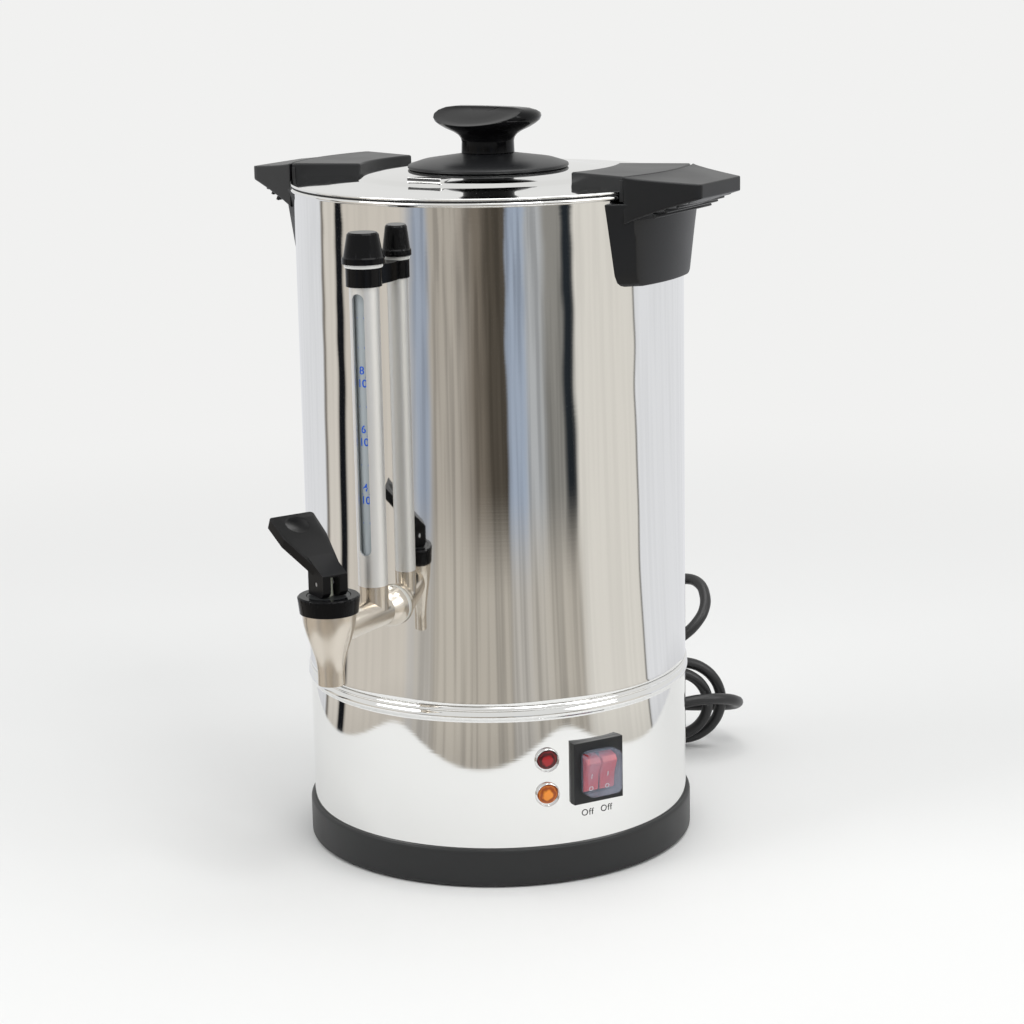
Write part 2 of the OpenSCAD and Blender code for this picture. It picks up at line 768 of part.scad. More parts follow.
module gauge_seal_low() {
    color("#c9c4bb") at_gauge() translate([0, 0, guard_z - 9.5])
        ring(guard_in_r - 0.3, glass_d / 2 + 0.1, 6);
}

module gauge_seal_top() {
    color("#c9c4bb") at_gauge() translate([0, 0, guard_top - 6]) ring(guard_in_r - 0.1, glass_d / 2 + 0.1, 5);
}

module gauge_ring() {
    color("#e6e6e2") at_gauge() translate([0, 0, cap_z - 2.1]) ring(cap_d / 2 - 1.2, guard_d / 2 + 0.05, 2.1);
}

module gauge_cap() {
    ribs = 16;
    top = cap_z + cap_h;
    color("#1b1b1b") at_gauge() difference() {
        rotate_extrude() polygon([[guard_d / 2 + 0.1, cap_z], [cap_d / 2, cap_z], [cap_d / 2, cap_z + 3],
            [cap_d / 2 - 0.9, cap_z + 3.8], [cap_d / 2 - 3, top - 1], [cap_d / 2 - 4, top], [0, top],
            [0, cap_z + 5], [guard_d / 2 + 0.1, cap_z + 5]]);
        for (i = [0:ribs - 1]) rotate([0, 0, (i + 0.5) * 360 / ribs])
            translate([cap_d / 2 + 0.2, 0, cap_z + 4]) rotate([0, -9.6, 0])
            cylinder(r = 1.2, h = cap_h, $fn = 16);
    }
}

module gauge_clip() {
    color("#1b1b1b") difference() {
        union() {
            at_gauge() translate([0, 0, clip_z]) cylinder(r = guard_d / 2 + 1.6, h = clip_h);
            translate([-5, -gauge_r + guard_d / 2, clip_z]) cube([10, gauge_r - body_r, clip_h]);
        }
        at_gauge() translate([0, 0, clip_z - 1]) cylinder(r = guard_d / 2, h = clip_h + 2);
        inside(body_r);
        at_wall(0, clip_mid_z, in_r) cylinder(r = screw_r, h = gauge_r - guard_d / 2 - 1.5 - in_r);
    }
}

module clip_screw() {
    color("#b9bbbd") at_wall(0, clip_mid_z, in_r) {
        translate([0, 0, -2.4]) cylinder(r = 3.6, h = 2.3);
        translate([0, 0, -1]) cylinder(r = screw_r, h = gauge_r - guard_d / 2 - 1.7 - in_r);
    }
}

/* Lid */

lid_edge_r = rim_r - 0.1;
knob_screw_r = 2.4;

// The lid's upper face as a half outline, lowered by d.
function lid_face(d = 0) = [
    [0, lid_top - d], [dome_flat_r, lid_top - d],
    [body_r - 35, lid_top - dome_h * 0.34 - d], [body_r - 12, lid_top - dome_h * 0.86 - d],
    [body_r - 3, lid_z + edge_h - d], [lid_edge_r - 0.6, lid_z + edge_h - d]
];

collar_r = in_r - 1.2;
lug_screw_at = [body_r - 24, body_r - 7];
lug_screw_head_r = 2.8;
lug_screw_head_h = 1.8;

module at_lug_screws() {
    for (side = [0, 180], r = lug_screw_at) rotate([0, 0, side]) translate([r, 0, 0]) children();
}

// Height of the lid's upper face at a radius between the points of its outline.
function lid_height(r) = lookup(r, lid_face());

vent_rise = 2.2;
vent_l = 14;

module lid() {
    color("#cfcfcc") difference() {
        union() {
            rotate_extrude($fn = 180) polygon(concat(lid_face(), [[lid_edge_r, lid_z + edge_h / 2],
                [lid_edge_r - 0.6, lid_z], [collar_r, lid_z], [collar_r, lid_z - collar_h],
                [collar_r - lid_t, lid_z - collar_h], [collar_r - lid_t, lid_z + edge_h - lid_t],
                [body_r - 12, lid_top - dome_h * 0.86 - lid_t],
                [body_r - 35, lid_top - dome_h * 0.34 - lid_t],
                [dome_flat_r, lid_top - lid_t], [0, lid_top - lid_t]]));
            translate([-vent_w / 2, -vent_r, lid_height(vent_r) - 1]) rotate([90, 0, 90])
                linear_extrude(vent_w) polygon([[0, 0], [vent_l, 0.4], [vent_l, 1.6], [0, 1 + vent_rise]]);
        }
        translate([-vent_w / 2 + 0.8, -vent_r - 1, lid_height(vent_r) - 3]) rotate([90, 0, 90])
            linear_extrude(vent_w - 1.6) polygon([[0, 3.2], [1.1, 0], [vent_l - 4, 0], [vent_l - 4, 3.6],
                [0, 2.6 + vent_rise]]);
        translate([0, 0, lid_z - 20]) cylinder(r = knob_screw_r + 0.1, h = 60);
        at_lug_screws() translate([0, 0, lid_z - 20]) cylinder(r = 1.6, h = 60);
    }
}

module lid_seal() {
    color("#3c3c3c") translate([0, 0, rim_z + 0.05]) ring(rim_r - 0.6, collar_r + 0.4, lid_seal_t, $fn = 180);
}

// One lug on the +X side: a plate on the lid with a tab that hangs down outside the rim.
module lug() {
    slope = (lug_out_w - lug_in_w) / (body_r - lug_in_r);
    far_w = lug_out_w + slope * 12;
    near_w = lug_in_w - slope * 12;
    difference() {
        intersection() {
            translate([0, 0, lug_foot]) linear_extrude(grip_z - lug_foot)
                polygon([[lug_in_r - 12, -near_w], [body_r + 12, -far_w], [body_r + 12, far_w],
                    [lug_in_r - 12, near_w]]);
            translate([0, 0, lug_foot - 1]) ring(lug_r, lug_in_r, grip_z - lug_foot + 2, $fn = 180);
        }
        rotate_extrude($fn = 180) polygon(concat(lid_face(), [[lid_edge_r + 1.1, lid_z + edge_h],
            [lid_edge_r + 1.1, lid_z - 20], [0, lid_z - 20]]));
        for (r = lug_screw_at) translate([r, 0, 0]) cylinder(r = 1.45, h = lid_height(r) + 3.6);
    }
}

module lid_lug_right() {
    color("#222323") lug();
}

module lid_lug_left() {
    color("#222323") rotate([0, 0, 180]) lug();
}

module lug_screws() {
    for (side = [0, 180], r = lug_screw_at) color("#b9bbbd") rotate([0, 0, side]) translate([r, 0, 0]) {
        low = lid_height(r + lug_screw_head_r) - lid_t - 0.05 - lug_screw_head_h;
        translate([0, 0, low]) cylinder(r = lug_screw_head_r, h = lug_screw_head_h);
        translate([0, 0, low]) cylinder(r = 1.4, h = lid_height(r) + 3.5 - low);
    }
}

module knob_base() {
    out_r = disc_d / 2;
    color("#1d1d1d") translate([0, 0, lid_top]) rotate_extrude($fn = 128) polygon([[knob_screw_r + 0.1, 0],
        [out_r - 1, 0], [out_r, 0.8], [out_r, 2], [out_r - 1, 2.9], [out_r * 0.66, 5.2],
        [neck_d / 2 + 1, disc_h - 0.5], [neck_d / 2, disc_h], [knob_screw_r + 0.1, disc_h]]);
}

module knob() {
    head_r = knob_d / 2;
    neck_r = neck_d / 2;
    facet_tilt = 20;
    color("#1d1d1d") translate([0, 0, lid_top + disc_h]) difference() {
        rotate_extrude($fn = 128) polygon([[0, knob_h - 12], [knob_screw_r + 0.02, knob_h - 12],
            [knob_screw_r + 0.02, 0], [neck_r, 0], [neck_r - 0.3, knob_h * 0.27],
            [neck_r + 1.4, knob_h * 0.38], [head_r - 5, knob_h * 0.54], [head_r - 1, knob_h * 0.66],
            [head_r, knob_h * 0.78],
            [head_r - 1.2, knob_h * 0.9], [head_r - 5.5, knob_h * 0.975], [0, knob_h]]);
        for (side = [0, 180]) rotate([0, 0, side]) translate([-50, -4, knob_h - 0.5])
            rotate([facet_tilt, 0, 0]) translate([0, -60, 0]) cube([100, 60, 30]);
    }
}

module knob_screw() {
    washer_t = 0.8;
    screw_head_h = 3;
    low = lid_top - lid_t - washer_t - screw_head_h;
    color("#b9bbbd") {
        translate([0, 0, low + screw_head_h]) ring(8, knob_screw_r + 0.1, washer_t);
        translate([0, 0, low]) cylinder(r = 4.5, h = screw_head_h);
        translate([0, 0, low]) cylinder(r = knob_screw_r, h = disc_h + knob_h - 9);
    }
}

/* Handles */

apron_top = pocket_z;
apron_low = rim_z - apron_h;
wing_top_tip = grip_z - 4.3;
wing_tip_t = 4.6;
wing_foot = apron_top - 11;
rib_count = 4;

// The apron's outline in Y and Z, narrower by w on each side, as a thin plate.
module apron_plate(w, corner = 7) {
    low_w = apron_w - 4.5 - w;
    top_w = apron_w - w;
    linear_extrude(0.5) {
        polygon([[-top_w, apron_top], [-low_w, apron_low + corner], [low_w, apron_low + corner],
            [top_w, apron_top]]);
        for (side = [-1, 1]) translate([side * (low_w - corner), apron_low + corner])
            circle(r = corner, $fn = 32);
        translate([-low_w + corner, apron_low]) square([2 * (low_w - corner), corner]);
    }
}

module wing_slice(x, w, low, high) {
    translate([x, -w, low]) cube([0.5, 2 * w, high - low]);
}

module handle() {
    split_w = lug_out_w;
    difference() {
        union() {
            intersection() {
                hull() {
                    translate([body_r - 12, 0, 0]) rotate([90, 0, 90]) apron_plate(0);
                    translate([body_r + apron_t + 4.5, 0, 0]) rotate([90, 0, 90]) apron_plate(11);
                }
                translate([0, 0, apron_low - 1])
                    cylinder(r1 = body_r + apron_t, r2 = body_r + apron_t + 4, h = apron_h, $fn = 180);
            }
            hull() {
                wing_slice(body_r - 2, apron_w - 4, wing_foot, apron_top);
                wing_slice(handle_in_r + 2, split_w + 1, wing_foot + 1, grip_z);
                wing_slice(wing_r - 0.5, wing_tip_w, wing_top_tip - wing_tip_t, wing_top_tip);
            }
            hull() {
                wing_slice(body_r - 2, split_w + 2, apron_top, grip_z);
                wing_slice(handle_in_r + 2, split_w + 1, apron_top - 5, grip_z);
            }
            for (i = [1:rib_count]) {
                t = i / (rib_count + 1);
                x = handle_in_r + 2 + t * (wing_r - handle_in_r - 4);
                z = wing_foot + 1 + t * (wing_top_tip - wing_tip_t - wing_foot - 1);
                w = split_w - 3 + t * (wing_tip_w - split_w);
                translate([x - 1, -w, z - 1]) cube([2, 2 * w, 3]);
            }
        }
        inside(body_r);
        inside(handle_in_r, pocket_z);
        for (turn = [-handle_screw_turn, handle_screw_turn]) at_wall(90 + turn, handle_screw_z, 0)
            cylinder(r = screw_r, h = body_r + apron_t - 0.5);
        translate([handle_in_r + 2, split_w - 4, pocket_z - 3.2]) cube([8, 20, 3]);
    }
}

module handle_right() {
    color("#222323") handle();
}

module handle_left() {
    color("#222323") rotate([0, 0, 180]) handle();
}

module handle_seals() {
    color("#8f8f8f") intersection() {
        at_handle_screws() translate([0, 0, in_r - 1.8]) ring(6, screw_r + 0.05, 4);
        inside(in_r);
    }
}

module handle_screws() {
    color("#b9bbbd") at_handle_screws() {
        translate([0, 0, in_r - 4.3]) cylinder(r = 4, h = 2.5);
        translate([0, 0, in_r - 4.3]) cylinder(r = screw_r - 0.02, h = 4.3 + sheet + apron_t - 0.8);
    }
}

/* Controls */

face_r = body_r + switch_out;
rocker_under = 8;
pivot_r = face_r - rocker_under;
rocker_pitch = 10.4;

module at_switch() {
    at_wall(switch_turn, switch_z, 0) children();
}

module switch_housing() {
    color("#202222") difference() {
        union() {
            difference() {
                at_switch() translate([-switch_w / 2, -switch_h / 2, body_r - 6])
                    cube([switch_w, switch_h, switch_out + 6]);
                inside(body_r);
            }
            at_switch() translate([-switch_body_w / 2, -switch_body_h / 2, switch_back_r])
                cube([switch_body_w, switch_body_h, face_r - switch_back_r - 2]);
        }
        at_switch() for (side = [-1, 1]) translate([side * rocker_pitch / 2, 0, pivot_r]) {
            intersection() {
                rotate([0, 90, 0]) cylinder(r = rocker_r + 0.2, h = rocker_w + 0.4, center = true);
                cube([20, 25.2, 60], center = true);
            }
        }
    }
}

// A rocker in its off place, its lower end pressed in, with a face that dips in the middle.
module rocker(side) {
    half = rocker_r * 0.8;
    face = rocker_r * 0.786;
    at_switch() translate([side * rocker_pitch / 2, 0, pivot_r]) rotate([rocker_travel / 2, 0, 0])
        intersection() {
            rotate([0, 90, 0]) cylinder(r = rocker_r, h = rocker_w, center = true);
            rotate([90, 0, 90]) translate([0, 0, -rocker_w]) linear_extrude(2 * rocker_w)
                polygon([[-half, -3], [half, -3], [half, face + 0.3], [0, face - 1.2], [-half, face + 0.3]]);
        }
}

module rocker_boil() {
    color("#c8323a") rocker(-1);
}

module rocker_warm() {
    color("#c8323a") rocker(1);
}

module switch_cover() {
    w = 22.5;
    h = 25.4;
    deep = rocker_r + 1.5 - rocker_under;
    wall = 0.9;
    round_r = 4;
    color("#dfe6ec", 0.35) at_switch() translate([0, 0, face_r]) difference() {
        linear_extrude(deep) {
            square([w - 2 * round_r, h], center = true);
            square([w, h - 2 * round_r], center = true);
            for (x = [-1, 1], y = [-1, 1])
                translate([x * (w / 2 - round_r), y * (h / 2 - round_r)]) circle(r = round_r);
        }
        translate([-w / 2 + wall, -h / 2 + wall, -1]) cube([w - 2 * wall, h - 2 * wall, deep - wall + 1]);
    }
}

// A pilot lamp: a domed lens on a threaded body that passes through the wall.
module lamp(z) {
    lens_r = lamp_d / 2 - 1;
    at_wall(lamp_turn, z, 0) rotate_extrude($fn = 64) polygon([[0, body_r - 22],
        [lamp_hole_r - 0.1, body_r - 22], [lamp_hole_r - 0.1, body_r + 0.6], [lens_r, body_r + 0.6],
        [lens_r, body_r + 2], [lens_r * 0.8, body_r + 3], [lens_r * 0.45, body_r + 3.6], [0, body_r + 3.8]]);
}

module lamp_red() {
    color("#a31d22") lamp(lamp_z + lamp_pitch);
}

module lamp_amber() {
    color("#d98a1f") lamp(lamp_z);
}

module lamp_bezels() {
    color("#c4c6c8") for (z = [lamp_z, lamp_z + lamp_pitch]) difference() {
        at_wall(lamp_turn, z, body_r - 1) difference() {
            cylinder(r1 = lamp_d / 2, r2 = lamp_d / 2 - 0.6, h = 3.2, $fn = 64);
            translate([0, 0, 1.6]) cylinder(r = lamp_d / 2 - 0.9, h = 3, $fn = 64);
            translate([0, 0, -1]) cylinder(r = lamp_hole_r, h = 6, $fn = 64);
        }
        inside(body_r);
    }
}

module lamp_nuts() {
    color("#c4c6c8") for (z = [lamp_z, lamp_z + lamp_pitch]) at_wall(lamp_turn, z, in_r - 3.6) difference() {
        cylinder(r = 8, h = 3.2, $fn = 6);
        translate([0, 0, -1]) cylinder(r = lamp_hole_r - 0.06, h = 6, $fn = 64);
    }
}

base_ring();
feet();
foot_screws();
foot_nuts();
bottom_plate();
skirt();
tank();
heat_spreader();
element_boil();
element_warm();
thermostat();
thermal_cutout();
terminal_block();
wiring();
strain_relief();
cord_lead();
cord_hank();
cord_tail();
cord_tie();
plug_body();
plug_pins();
tap_body();
tap_washer();
tap_seal();
tap_nut();
tap_bonnet();
swivel_washer();
valve_stem();
valve_cup();
valve_spring();
tap_lever();
lever_pin();
gauge_guard();
gauge_glass();
gauge_seal_low();
gauge_seal_top();
gauge_ring();
gauge_cap();
gauge_clip();
clip_screw();
lid();
lid_seal();
lid_lug_right();
lid_lug_left();
lug_screws();
knob();
knob_base();
knob_screw();
handle_right();
handle_left();
handle_screws();
handle_seals();
switch_housing();
rocker_boil();
rocker_warm();
switch_cover();
lamp_red();
lamp_amber();
lamp_bezels();
lamp_nuts();
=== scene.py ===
import math

import bmesh
import bpy
from mathutils import Matrix, Vector
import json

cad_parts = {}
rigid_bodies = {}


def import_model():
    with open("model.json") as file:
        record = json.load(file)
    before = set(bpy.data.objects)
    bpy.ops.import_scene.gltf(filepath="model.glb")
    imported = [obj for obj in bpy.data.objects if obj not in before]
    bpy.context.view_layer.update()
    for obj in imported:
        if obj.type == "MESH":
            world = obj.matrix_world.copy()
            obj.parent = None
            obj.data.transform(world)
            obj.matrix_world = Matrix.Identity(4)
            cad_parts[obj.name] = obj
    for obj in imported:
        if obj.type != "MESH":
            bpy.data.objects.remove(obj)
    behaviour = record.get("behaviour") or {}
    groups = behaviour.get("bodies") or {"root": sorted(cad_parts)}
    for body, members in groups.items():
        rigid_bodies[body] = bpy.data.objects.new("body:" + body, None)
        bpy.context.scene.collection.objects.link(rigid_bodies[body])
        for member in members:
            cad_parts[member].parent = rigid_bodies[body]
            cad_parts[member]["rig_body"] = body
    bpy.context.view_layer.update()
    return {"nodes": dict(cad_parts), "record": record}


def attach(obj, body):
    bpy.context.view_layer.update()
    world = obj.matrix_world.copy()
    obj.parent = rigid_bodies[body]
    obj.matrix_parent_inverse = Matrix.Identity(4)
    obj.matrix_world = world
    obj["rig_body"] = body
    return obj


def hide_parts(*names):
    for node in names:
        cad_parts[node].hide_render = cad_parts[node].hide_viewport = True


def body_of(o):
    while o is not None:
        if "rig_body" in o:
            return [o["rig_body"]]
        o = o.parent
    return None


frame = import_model()
print("frame loaded:", len(frame["nodes"]), "nodes")

mm = 0.001
fineSteps = 256


# helpers for modelling

def clearSelection():
    if bpy.context.mode != "OBJECT":
        bpy.ops.object.mode_set(mode="OBJECT")
    bpy.ops.object.select_all(action="DESELECT")


def pick(piece):
    clearSelection()
    piece.select_set(True)
    bpy.context.view_layer.objects.active = piece


def editAll(piece):
    pick(piece)
    bpy.ops.object.mode_set(mode="EDIT")
    bpy.ops.mesh.select_all(action="SELECT")


def smoothShade(piece, angle=32):
    pick(piece)
    bpy.ops.object.shade_smooth_by_angle(angle=math.radians(angle))


def roundEdges(piece, width, segments=3, angle=30):
    # a bevel on every edge sharper than the angle, applied
    pick(piece)
    bpy.ops.object.modifier_add(type="BEVEL")
    bevel = piece.modifiers[-1]
    bevel.width = width * mm
    bevel.segments = segments
    bevel.limit_method = "ANGLE"
    bevel.angle_limit = math.radians(angle)
    bevel.harden_normals = False
    bpy.ops.object.modifier_apply(modifier=bevel.name)
    smoothShade(piece)
    bpy.ops.object.modifier_add(type="WEIGHTED_NORMAL")
    weighted = piece.modifiers[-1]
    weighted.keep_sharp = True
    bpy.ops.object.modifier_apply(modifier=weighted.name)


def gridSolid(name, across, along, place):
    # a closed block between two sheets of points, place(u, v, sheet) in mm with u and v from 0 to 1
    build = bmesh.new()
    sheets = []
    for sheet in (0, 1):
        rows = []
        for j in range(along + 1):
            spots = [place(i / across, j / along, sheet) for i in range(across + 1)]
            rows.append([build.verts.new([c * mm for c in spot]) for spot in spots])
        sheets.append(rows)
    for rows in sheets:
        for low, high in zip(rows, rows[1:]):
            for i in range(across):
                build.faces.new((low[i], low[i + 1], high[i + 1], high[i]))
    first, second = sheets
    for j in range(along):
        for i in (0, across):
            build.faces.new((first[j][i], first[j + 1][i], second[j + 1][i], second[j][i]))
    for i in range(across):
        for j in (0, along):
            build.faces.new((first[j][i], first[j][i + 1], second[j][i + 1], second[j][i]))
    bmesh.ops.recalc_face_normals(build, faces=build.faces)
    data = bpy.data.meshes.new(name)
    build.to_mesh(data)
    build.free()
    piece = bpy.data.objects.new(name, data)
    bpy.context.scene.collection.objects.link(piece)
    return piece


def joinPieces(pieces):
    clearSelection()
    for piece in pieces:
        piece.select_set(True)
    bpy.context.view_layer.objects.active = pieces[0]
    bpy.ops.object.join()
    return pieces[0]


def between(low, high, share):
    return low + (high - low) * share


def latheShape(name, outline, steps=192, smooth=32):
    # a half outline of (radius, height) in mm, spun once round Z
    clearSelection()
    bpy.ops.mesh.primitive_plane_add(size=0.001)
    piece = bpy.context.object
    piece.name = name
    bpy.ops.object.mode_set(mode="EDIT")
    bpy.ops.mesh.select_all(action="SELECT")
    bpy.ops.mesh.merge(type="CENTER")
    last = (0, 0)
    for index, point in enumerate(outline):
        step = ((point[0] - last[0]) * mm, 0, (point[1] - last[1]) * mm)
        if index == 0:
            bpy.ops.transform.translate(value=step)
        else:
            bpy.ops.mesh.extrude_region_move(TRANSFORM_OT_translate={"value": step})
        last = point
    bpy.ops.mesh.select_all(action="SELECT")
    bpy.ops.mesh.spin(steps=steps, angle=2 * math.pi, center=(0, 0, 0), axis=(0, 0, 1))
    bpy.ops.mesh.select_all(action="SELECT")
    bpy.ops.mesh.remove_doubles(threshold=0.000005)
    bpy.ops.mesh.normals_make_consistent(inside=False)
    bpy.ops.object.mode_set(mode="OBJECT")
    smoothShade(piece, smooth)
    return piece


def arcPoints(centre, radius, start, end, count):
    # points on an arc of an outline, angles in degrees
    found = []
    for index in range(count + 1):
        angle = math.radians(start + (end - start) * index / count)
        found.append((centre[0] + radius * math.cos(angle), centre[1] + radius * math.sin(angle)))
    return found


def boxShape(name, size, centre):
    clearSelection()
    bpy.ops.mesh.primitive_cube_add(size=1, location=[c * mm for c in centre], scale=[s * mm for s in size])
    piece = bpy.context.object
    piece.name = name
    bpy.ops.object.transform_apply(location=True, rotation=True, scale=True)
    return piece


def turnInto(piece, matrix):
    # moves a finished shape to its place and leaves its object at the origin
    piece.matrix_world = matrix @ piece.matrix_world
    pick(piece)
    bpy.ops.object.transform_apply(location=True, rotation=True, scale=True)
    return piece


def wallMatrix(turn, height, radius):
    # X runs along the wall, Y up and Z straight out, as in the part's own frame
    return (Matrix.Rotation(math.radians(turn), 4, "Z")
            @ Matrix.Translation((0, -radius * mm, height * mm))
            @ Matrix.Rotation(math.radians(90), 4, "X"))


def dressCopy(node, name=None, width=0.4, segments=2, angle=30):
    # a merged copy of a solid with its hard edges broken, which stands for the solid
    source = frame["nodes"][node]
    piece = source.copy()
    piece.data = source.data.copy()
    for key in list(piece.keys()):
        del piece[key]
    piece.parent = None
    piece.matrix_world = Matrix.Identity(4)
    piece.name = name or (node + "Dress")
    bpy.context.scene.collection.objects.link(piece)
    editAll(piece)
    bpy.ops.mesh.remove_doubles(threshold=0.00002)
    bpy.ops.mesh.dissolve_limited(angle_limit=math.radians(0.5))
    bpy.ops.object.mode_set(mode="OBJECT")
    if width > 0:
        roundEdges(piece, width, segments, angle)
    else:
        smoothShade(piece)
    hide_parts(node)
    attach(piece, body_of(source)[0])
    return piece


# shader nodes and groups

def feed(links, node, values):
    # each value is a setting or the output of another node
    for label, value in values.items():
        if isinstance(value, bpy.types.NodeSocket):
            links.new(value, node.inputs[label])
        else:
            node.inputs[label].default_value = value


def addNode(nodes, links, kind, values, operation=None):
    node = nodes.new("ShaderNode" + kind)
    if operation:
        node.operation = operation
    feed(links, node, values)
    return node


def mathNode(nodes, links, operation, *values):
    return addNode(nodes, links, "Math", dict(enumerate(values)), operation).outputs[0]


def rangeNode(nodes, links, value, low, high, toLow=0.0, toHigh=1.0, smooth=False):
    node = addNode(nodes, links, "MapRange", {
        "Value": value, "From Min": low, "From Max": high, "To Min": toLow, "To Max": toHigh})
    if smooth:
        node.interpolation_type = "SMOOTHSTEP"
    return node.outputs["Result"]


def noiseNode(nodes, links, vector, scale, detail):
    noise = addNode(nodes, links, "TexNoise", {"Vector": vector, "Scale": scale, "Detail": detail})
    return noise.outputs["Fac"]


def rampNode(nodes, links, share, stops):
    # stops of (place, colour), in order
    ramp = addNode(nodes, links, "ValToRGB", {"Fac": share})
    elements = ramp.color_ramp.elements
    while len(elements) < len(stops):
        elements.new(0.5)
    for element, (place, colour) in zip(elements, stops):
        element.position = place
        element.color = (*colour, 1)
    return ramp.outputs["Color"]


def colourMix(nodes, links, share, first, second):
    mix = nodes.new("ShaderNodeMix")
    mix.data_type = "RGBA"
    feed(links, mix, {"Factor": share, "A": first, "B": second})
    return mix.outputs["Result"]


def shaderMix(nodes, links, share, first, second):
    return addNode(nodes, links, "MixShader", {"Fac": share, 1: first, 2: second}).outputs[0]


def newGroup(name, inputs, outputs):
    # inputs with their usual values, and the names of outputs that are numbers
    group = bpy.data.node_groups.new(name, "ShaderNodeTree")
    for label, value in inputs.items():
        kind = "NodeSocketVector" if isinstance(value, tuple) else "NodeSocketFloat"
        socket = group.interface.new_socket(name=label, in_out="INPUT", socket_type=kind)
        socket.default_value = value
    for label in outputs:
        group.interface.new_socket(name=label, in_out="OUTPUT", socket_type="NodeSocketFloat")
    nodes = group.nodes
    return group, nodes, group.links, nodes.new("NodeGroupInput").outputs, nodes.new("NodeGroupOutput")


def buildGrainGroup():
    # fine moulded grain: a height and a small change of roughness
    group, nodes, links, given, put = newGroup(
        "mouldedGrain", {"Scale": 900.0, "Depth": 0.5, "Rough Low": 0.3, "Rough High": 0.45},
        ("Height", "Roughness"))
    place = nodes.new("ShaderNodeTexCoord").outputs["Object"]
    fine = noiseNode(nodes, links, place, given["Scale"], 2)
    broad = noiseNode(nodes, links, place, 35, 2)
    height = mathNode(nodes, links, "MULTIPLY", fine, given["Depth"])
    rough = rangeNode(nodes, links, broad, 0, 1, given["Rough Low"], given["Rough High"])
    feed(links, put, {"Height": height, "Roughness": rough})
    return group


def buildEdgeGroup():
    # a mask that is 1 on convex edges, where a highlight is painted
    group, nodes, links, given, put = newGroup("paintedEdgeHighlight", {"Low": 0.52, "High": 0.62}, ("Mask",))
    bulge = nodes.new("ShaderNodeNewGeometry").outputs["Pointiness"]
    feed(links, put, {"Mask": rangeNode(nodes, links, bulge, given["Low"], given["High"])})
    return group


def buildPolishGroup():
    # faint lines of the polishing wheel, drawn out along one axis
    group, nodes, links, given, put = newGroup(
        "polishLines", {"Stretch": (1.0, 1.0, 60.0), "Scale": 12.0, "Rough Low": 0.03, "Rough High": 0.09},
        ("Height", "Roughness"))
    place = nodes.new("ShaderNodeTexCoord").outputs["Object"]
    drawn = addNode(nodes, links, "VectorMath", {0: place, 1: given["Stretch"]}, "MULTIPLY")
    lines = noiseNode(nodes, links, drawn.outputs["Vector"], given["Scale"], 4)
    rough = rangeNode(nodes, links, lines, 0, 1, given["Rough Low"], given["Rough High"])
    feed(links, put, {"Height": lines, "Roughness": rough})
    return group


grainGroup = buildGrainGroup()
edgeGroup = buildEdgeGroup()
polishGroup = buildPolishGroup()


# materials

def newMaterial(name):
    material = bpy.data.materials.new(name)
    material.use_nodes = True
    nodes = material.node_tree.nodes
    return material, nodes, material.node_tree.links, nodes["Principled BSDF"]


def groupNode(nodes, links, group, values):
    node = nodes.new("ShaderNodeGroup")
    node.node_tree = group
    feed(links, node, values)
    return node.outputs


def addBump(nodes, links, height, shader, strength, distance):
    raised = addNode(nodes, links, "Bump", {"Strength": strength, "Distance": distance, "Height": height})
    feed(links, shader, {"Normal": raised.outputs["Normal"]})


def mouldedPlastic(name, colour, edge, roughLow, roughHigh, scale=900, depth=0.5, bump=0.08,
                   specular=0.5, paintedGlow=None):
    # a moulding with grain, and paler edges that are a painted highlight; glow is a colour and a strength,
    # painted light on a part that is no lamp
    material, nodes, links, shader = newMaterial(name)
    grain = groupNode(nodes, links, grainGroup, {
        "Scale": scale, "Depth": depth, "Rough Low": roughLow, "Rough High": roughHigh})
    edgeHighlight = groupNode(nodes, links, edgeGroup, {})
    colours = colourMix(nodes, links, edgeHighlight["Mask"], (*colour, 1), (*edge, 1))
    feed(links, shader, {
        "Base Color": colours, "Roughness": grain["Roughness"], "Specular IOR Level": specular})
    addBump(nodes, links, grain["Height"], shader, bump, 0.0003)
    if paintedGlow:
        feed(links, shader, {"Emission Color": (*paintedGlow[:3], 1), "Emission Strength": paintedGlow[3]})
    return material


def polishedMetal(name, colour, roughLow, roughHigh, stretch=(1, 1, 60), scale=12, bump=0.02,
                  drawn=0, bore=0):
    # a metal with faint lines; its highlights can be drawn out up and down, and a bore in it can be dull
    material, nodes, links, shader = newMaterial(name)
    lines = groupNode(nodes, links, polishGroup, {
        "Stretch": stretch, "Scale": scale, "Rough Low": roughLow, "Rough High": roughHigh})
    feed(links, shader, {"Base Color": (*colour, 1), "Metallic": 1, "Roughness": lines["Roughness"]})
    addBump(nodes, links, lines["Height"], shader, bump, 0.0002)
    if drawn:
        upright = addNode(nodes, links, "CombineXYZ", {"Z": 1}).outputs[0]
        feed(links, shader, {"Tangent": upright, "Anisotropic": drawn})
    if bore:
        place = nodes.new("ShaderNodeTexCoord").outputs["Object"]
        apart = addNode(nodes, links, "SeparateXYZ", {0: place}).outputs
        squares = [mathNode(nodes, links, "POWER", apart[axis], 2) for axis in ("X", "Y")]
        total = mathNode(nodes, links, "ADD", *squares)
        within = mathNode(nodes, links, "LESS_THAN", total, (bore * mm) ** 2)
        for label, outside, inside in (("Metallic", 1.0, 0.35), ("Roughness", lines["Roughness"], 0.4)):
            feed(links, shader, {label: rangeNode(nodes, links, within, 0, 1, outside, inside)})
    return material


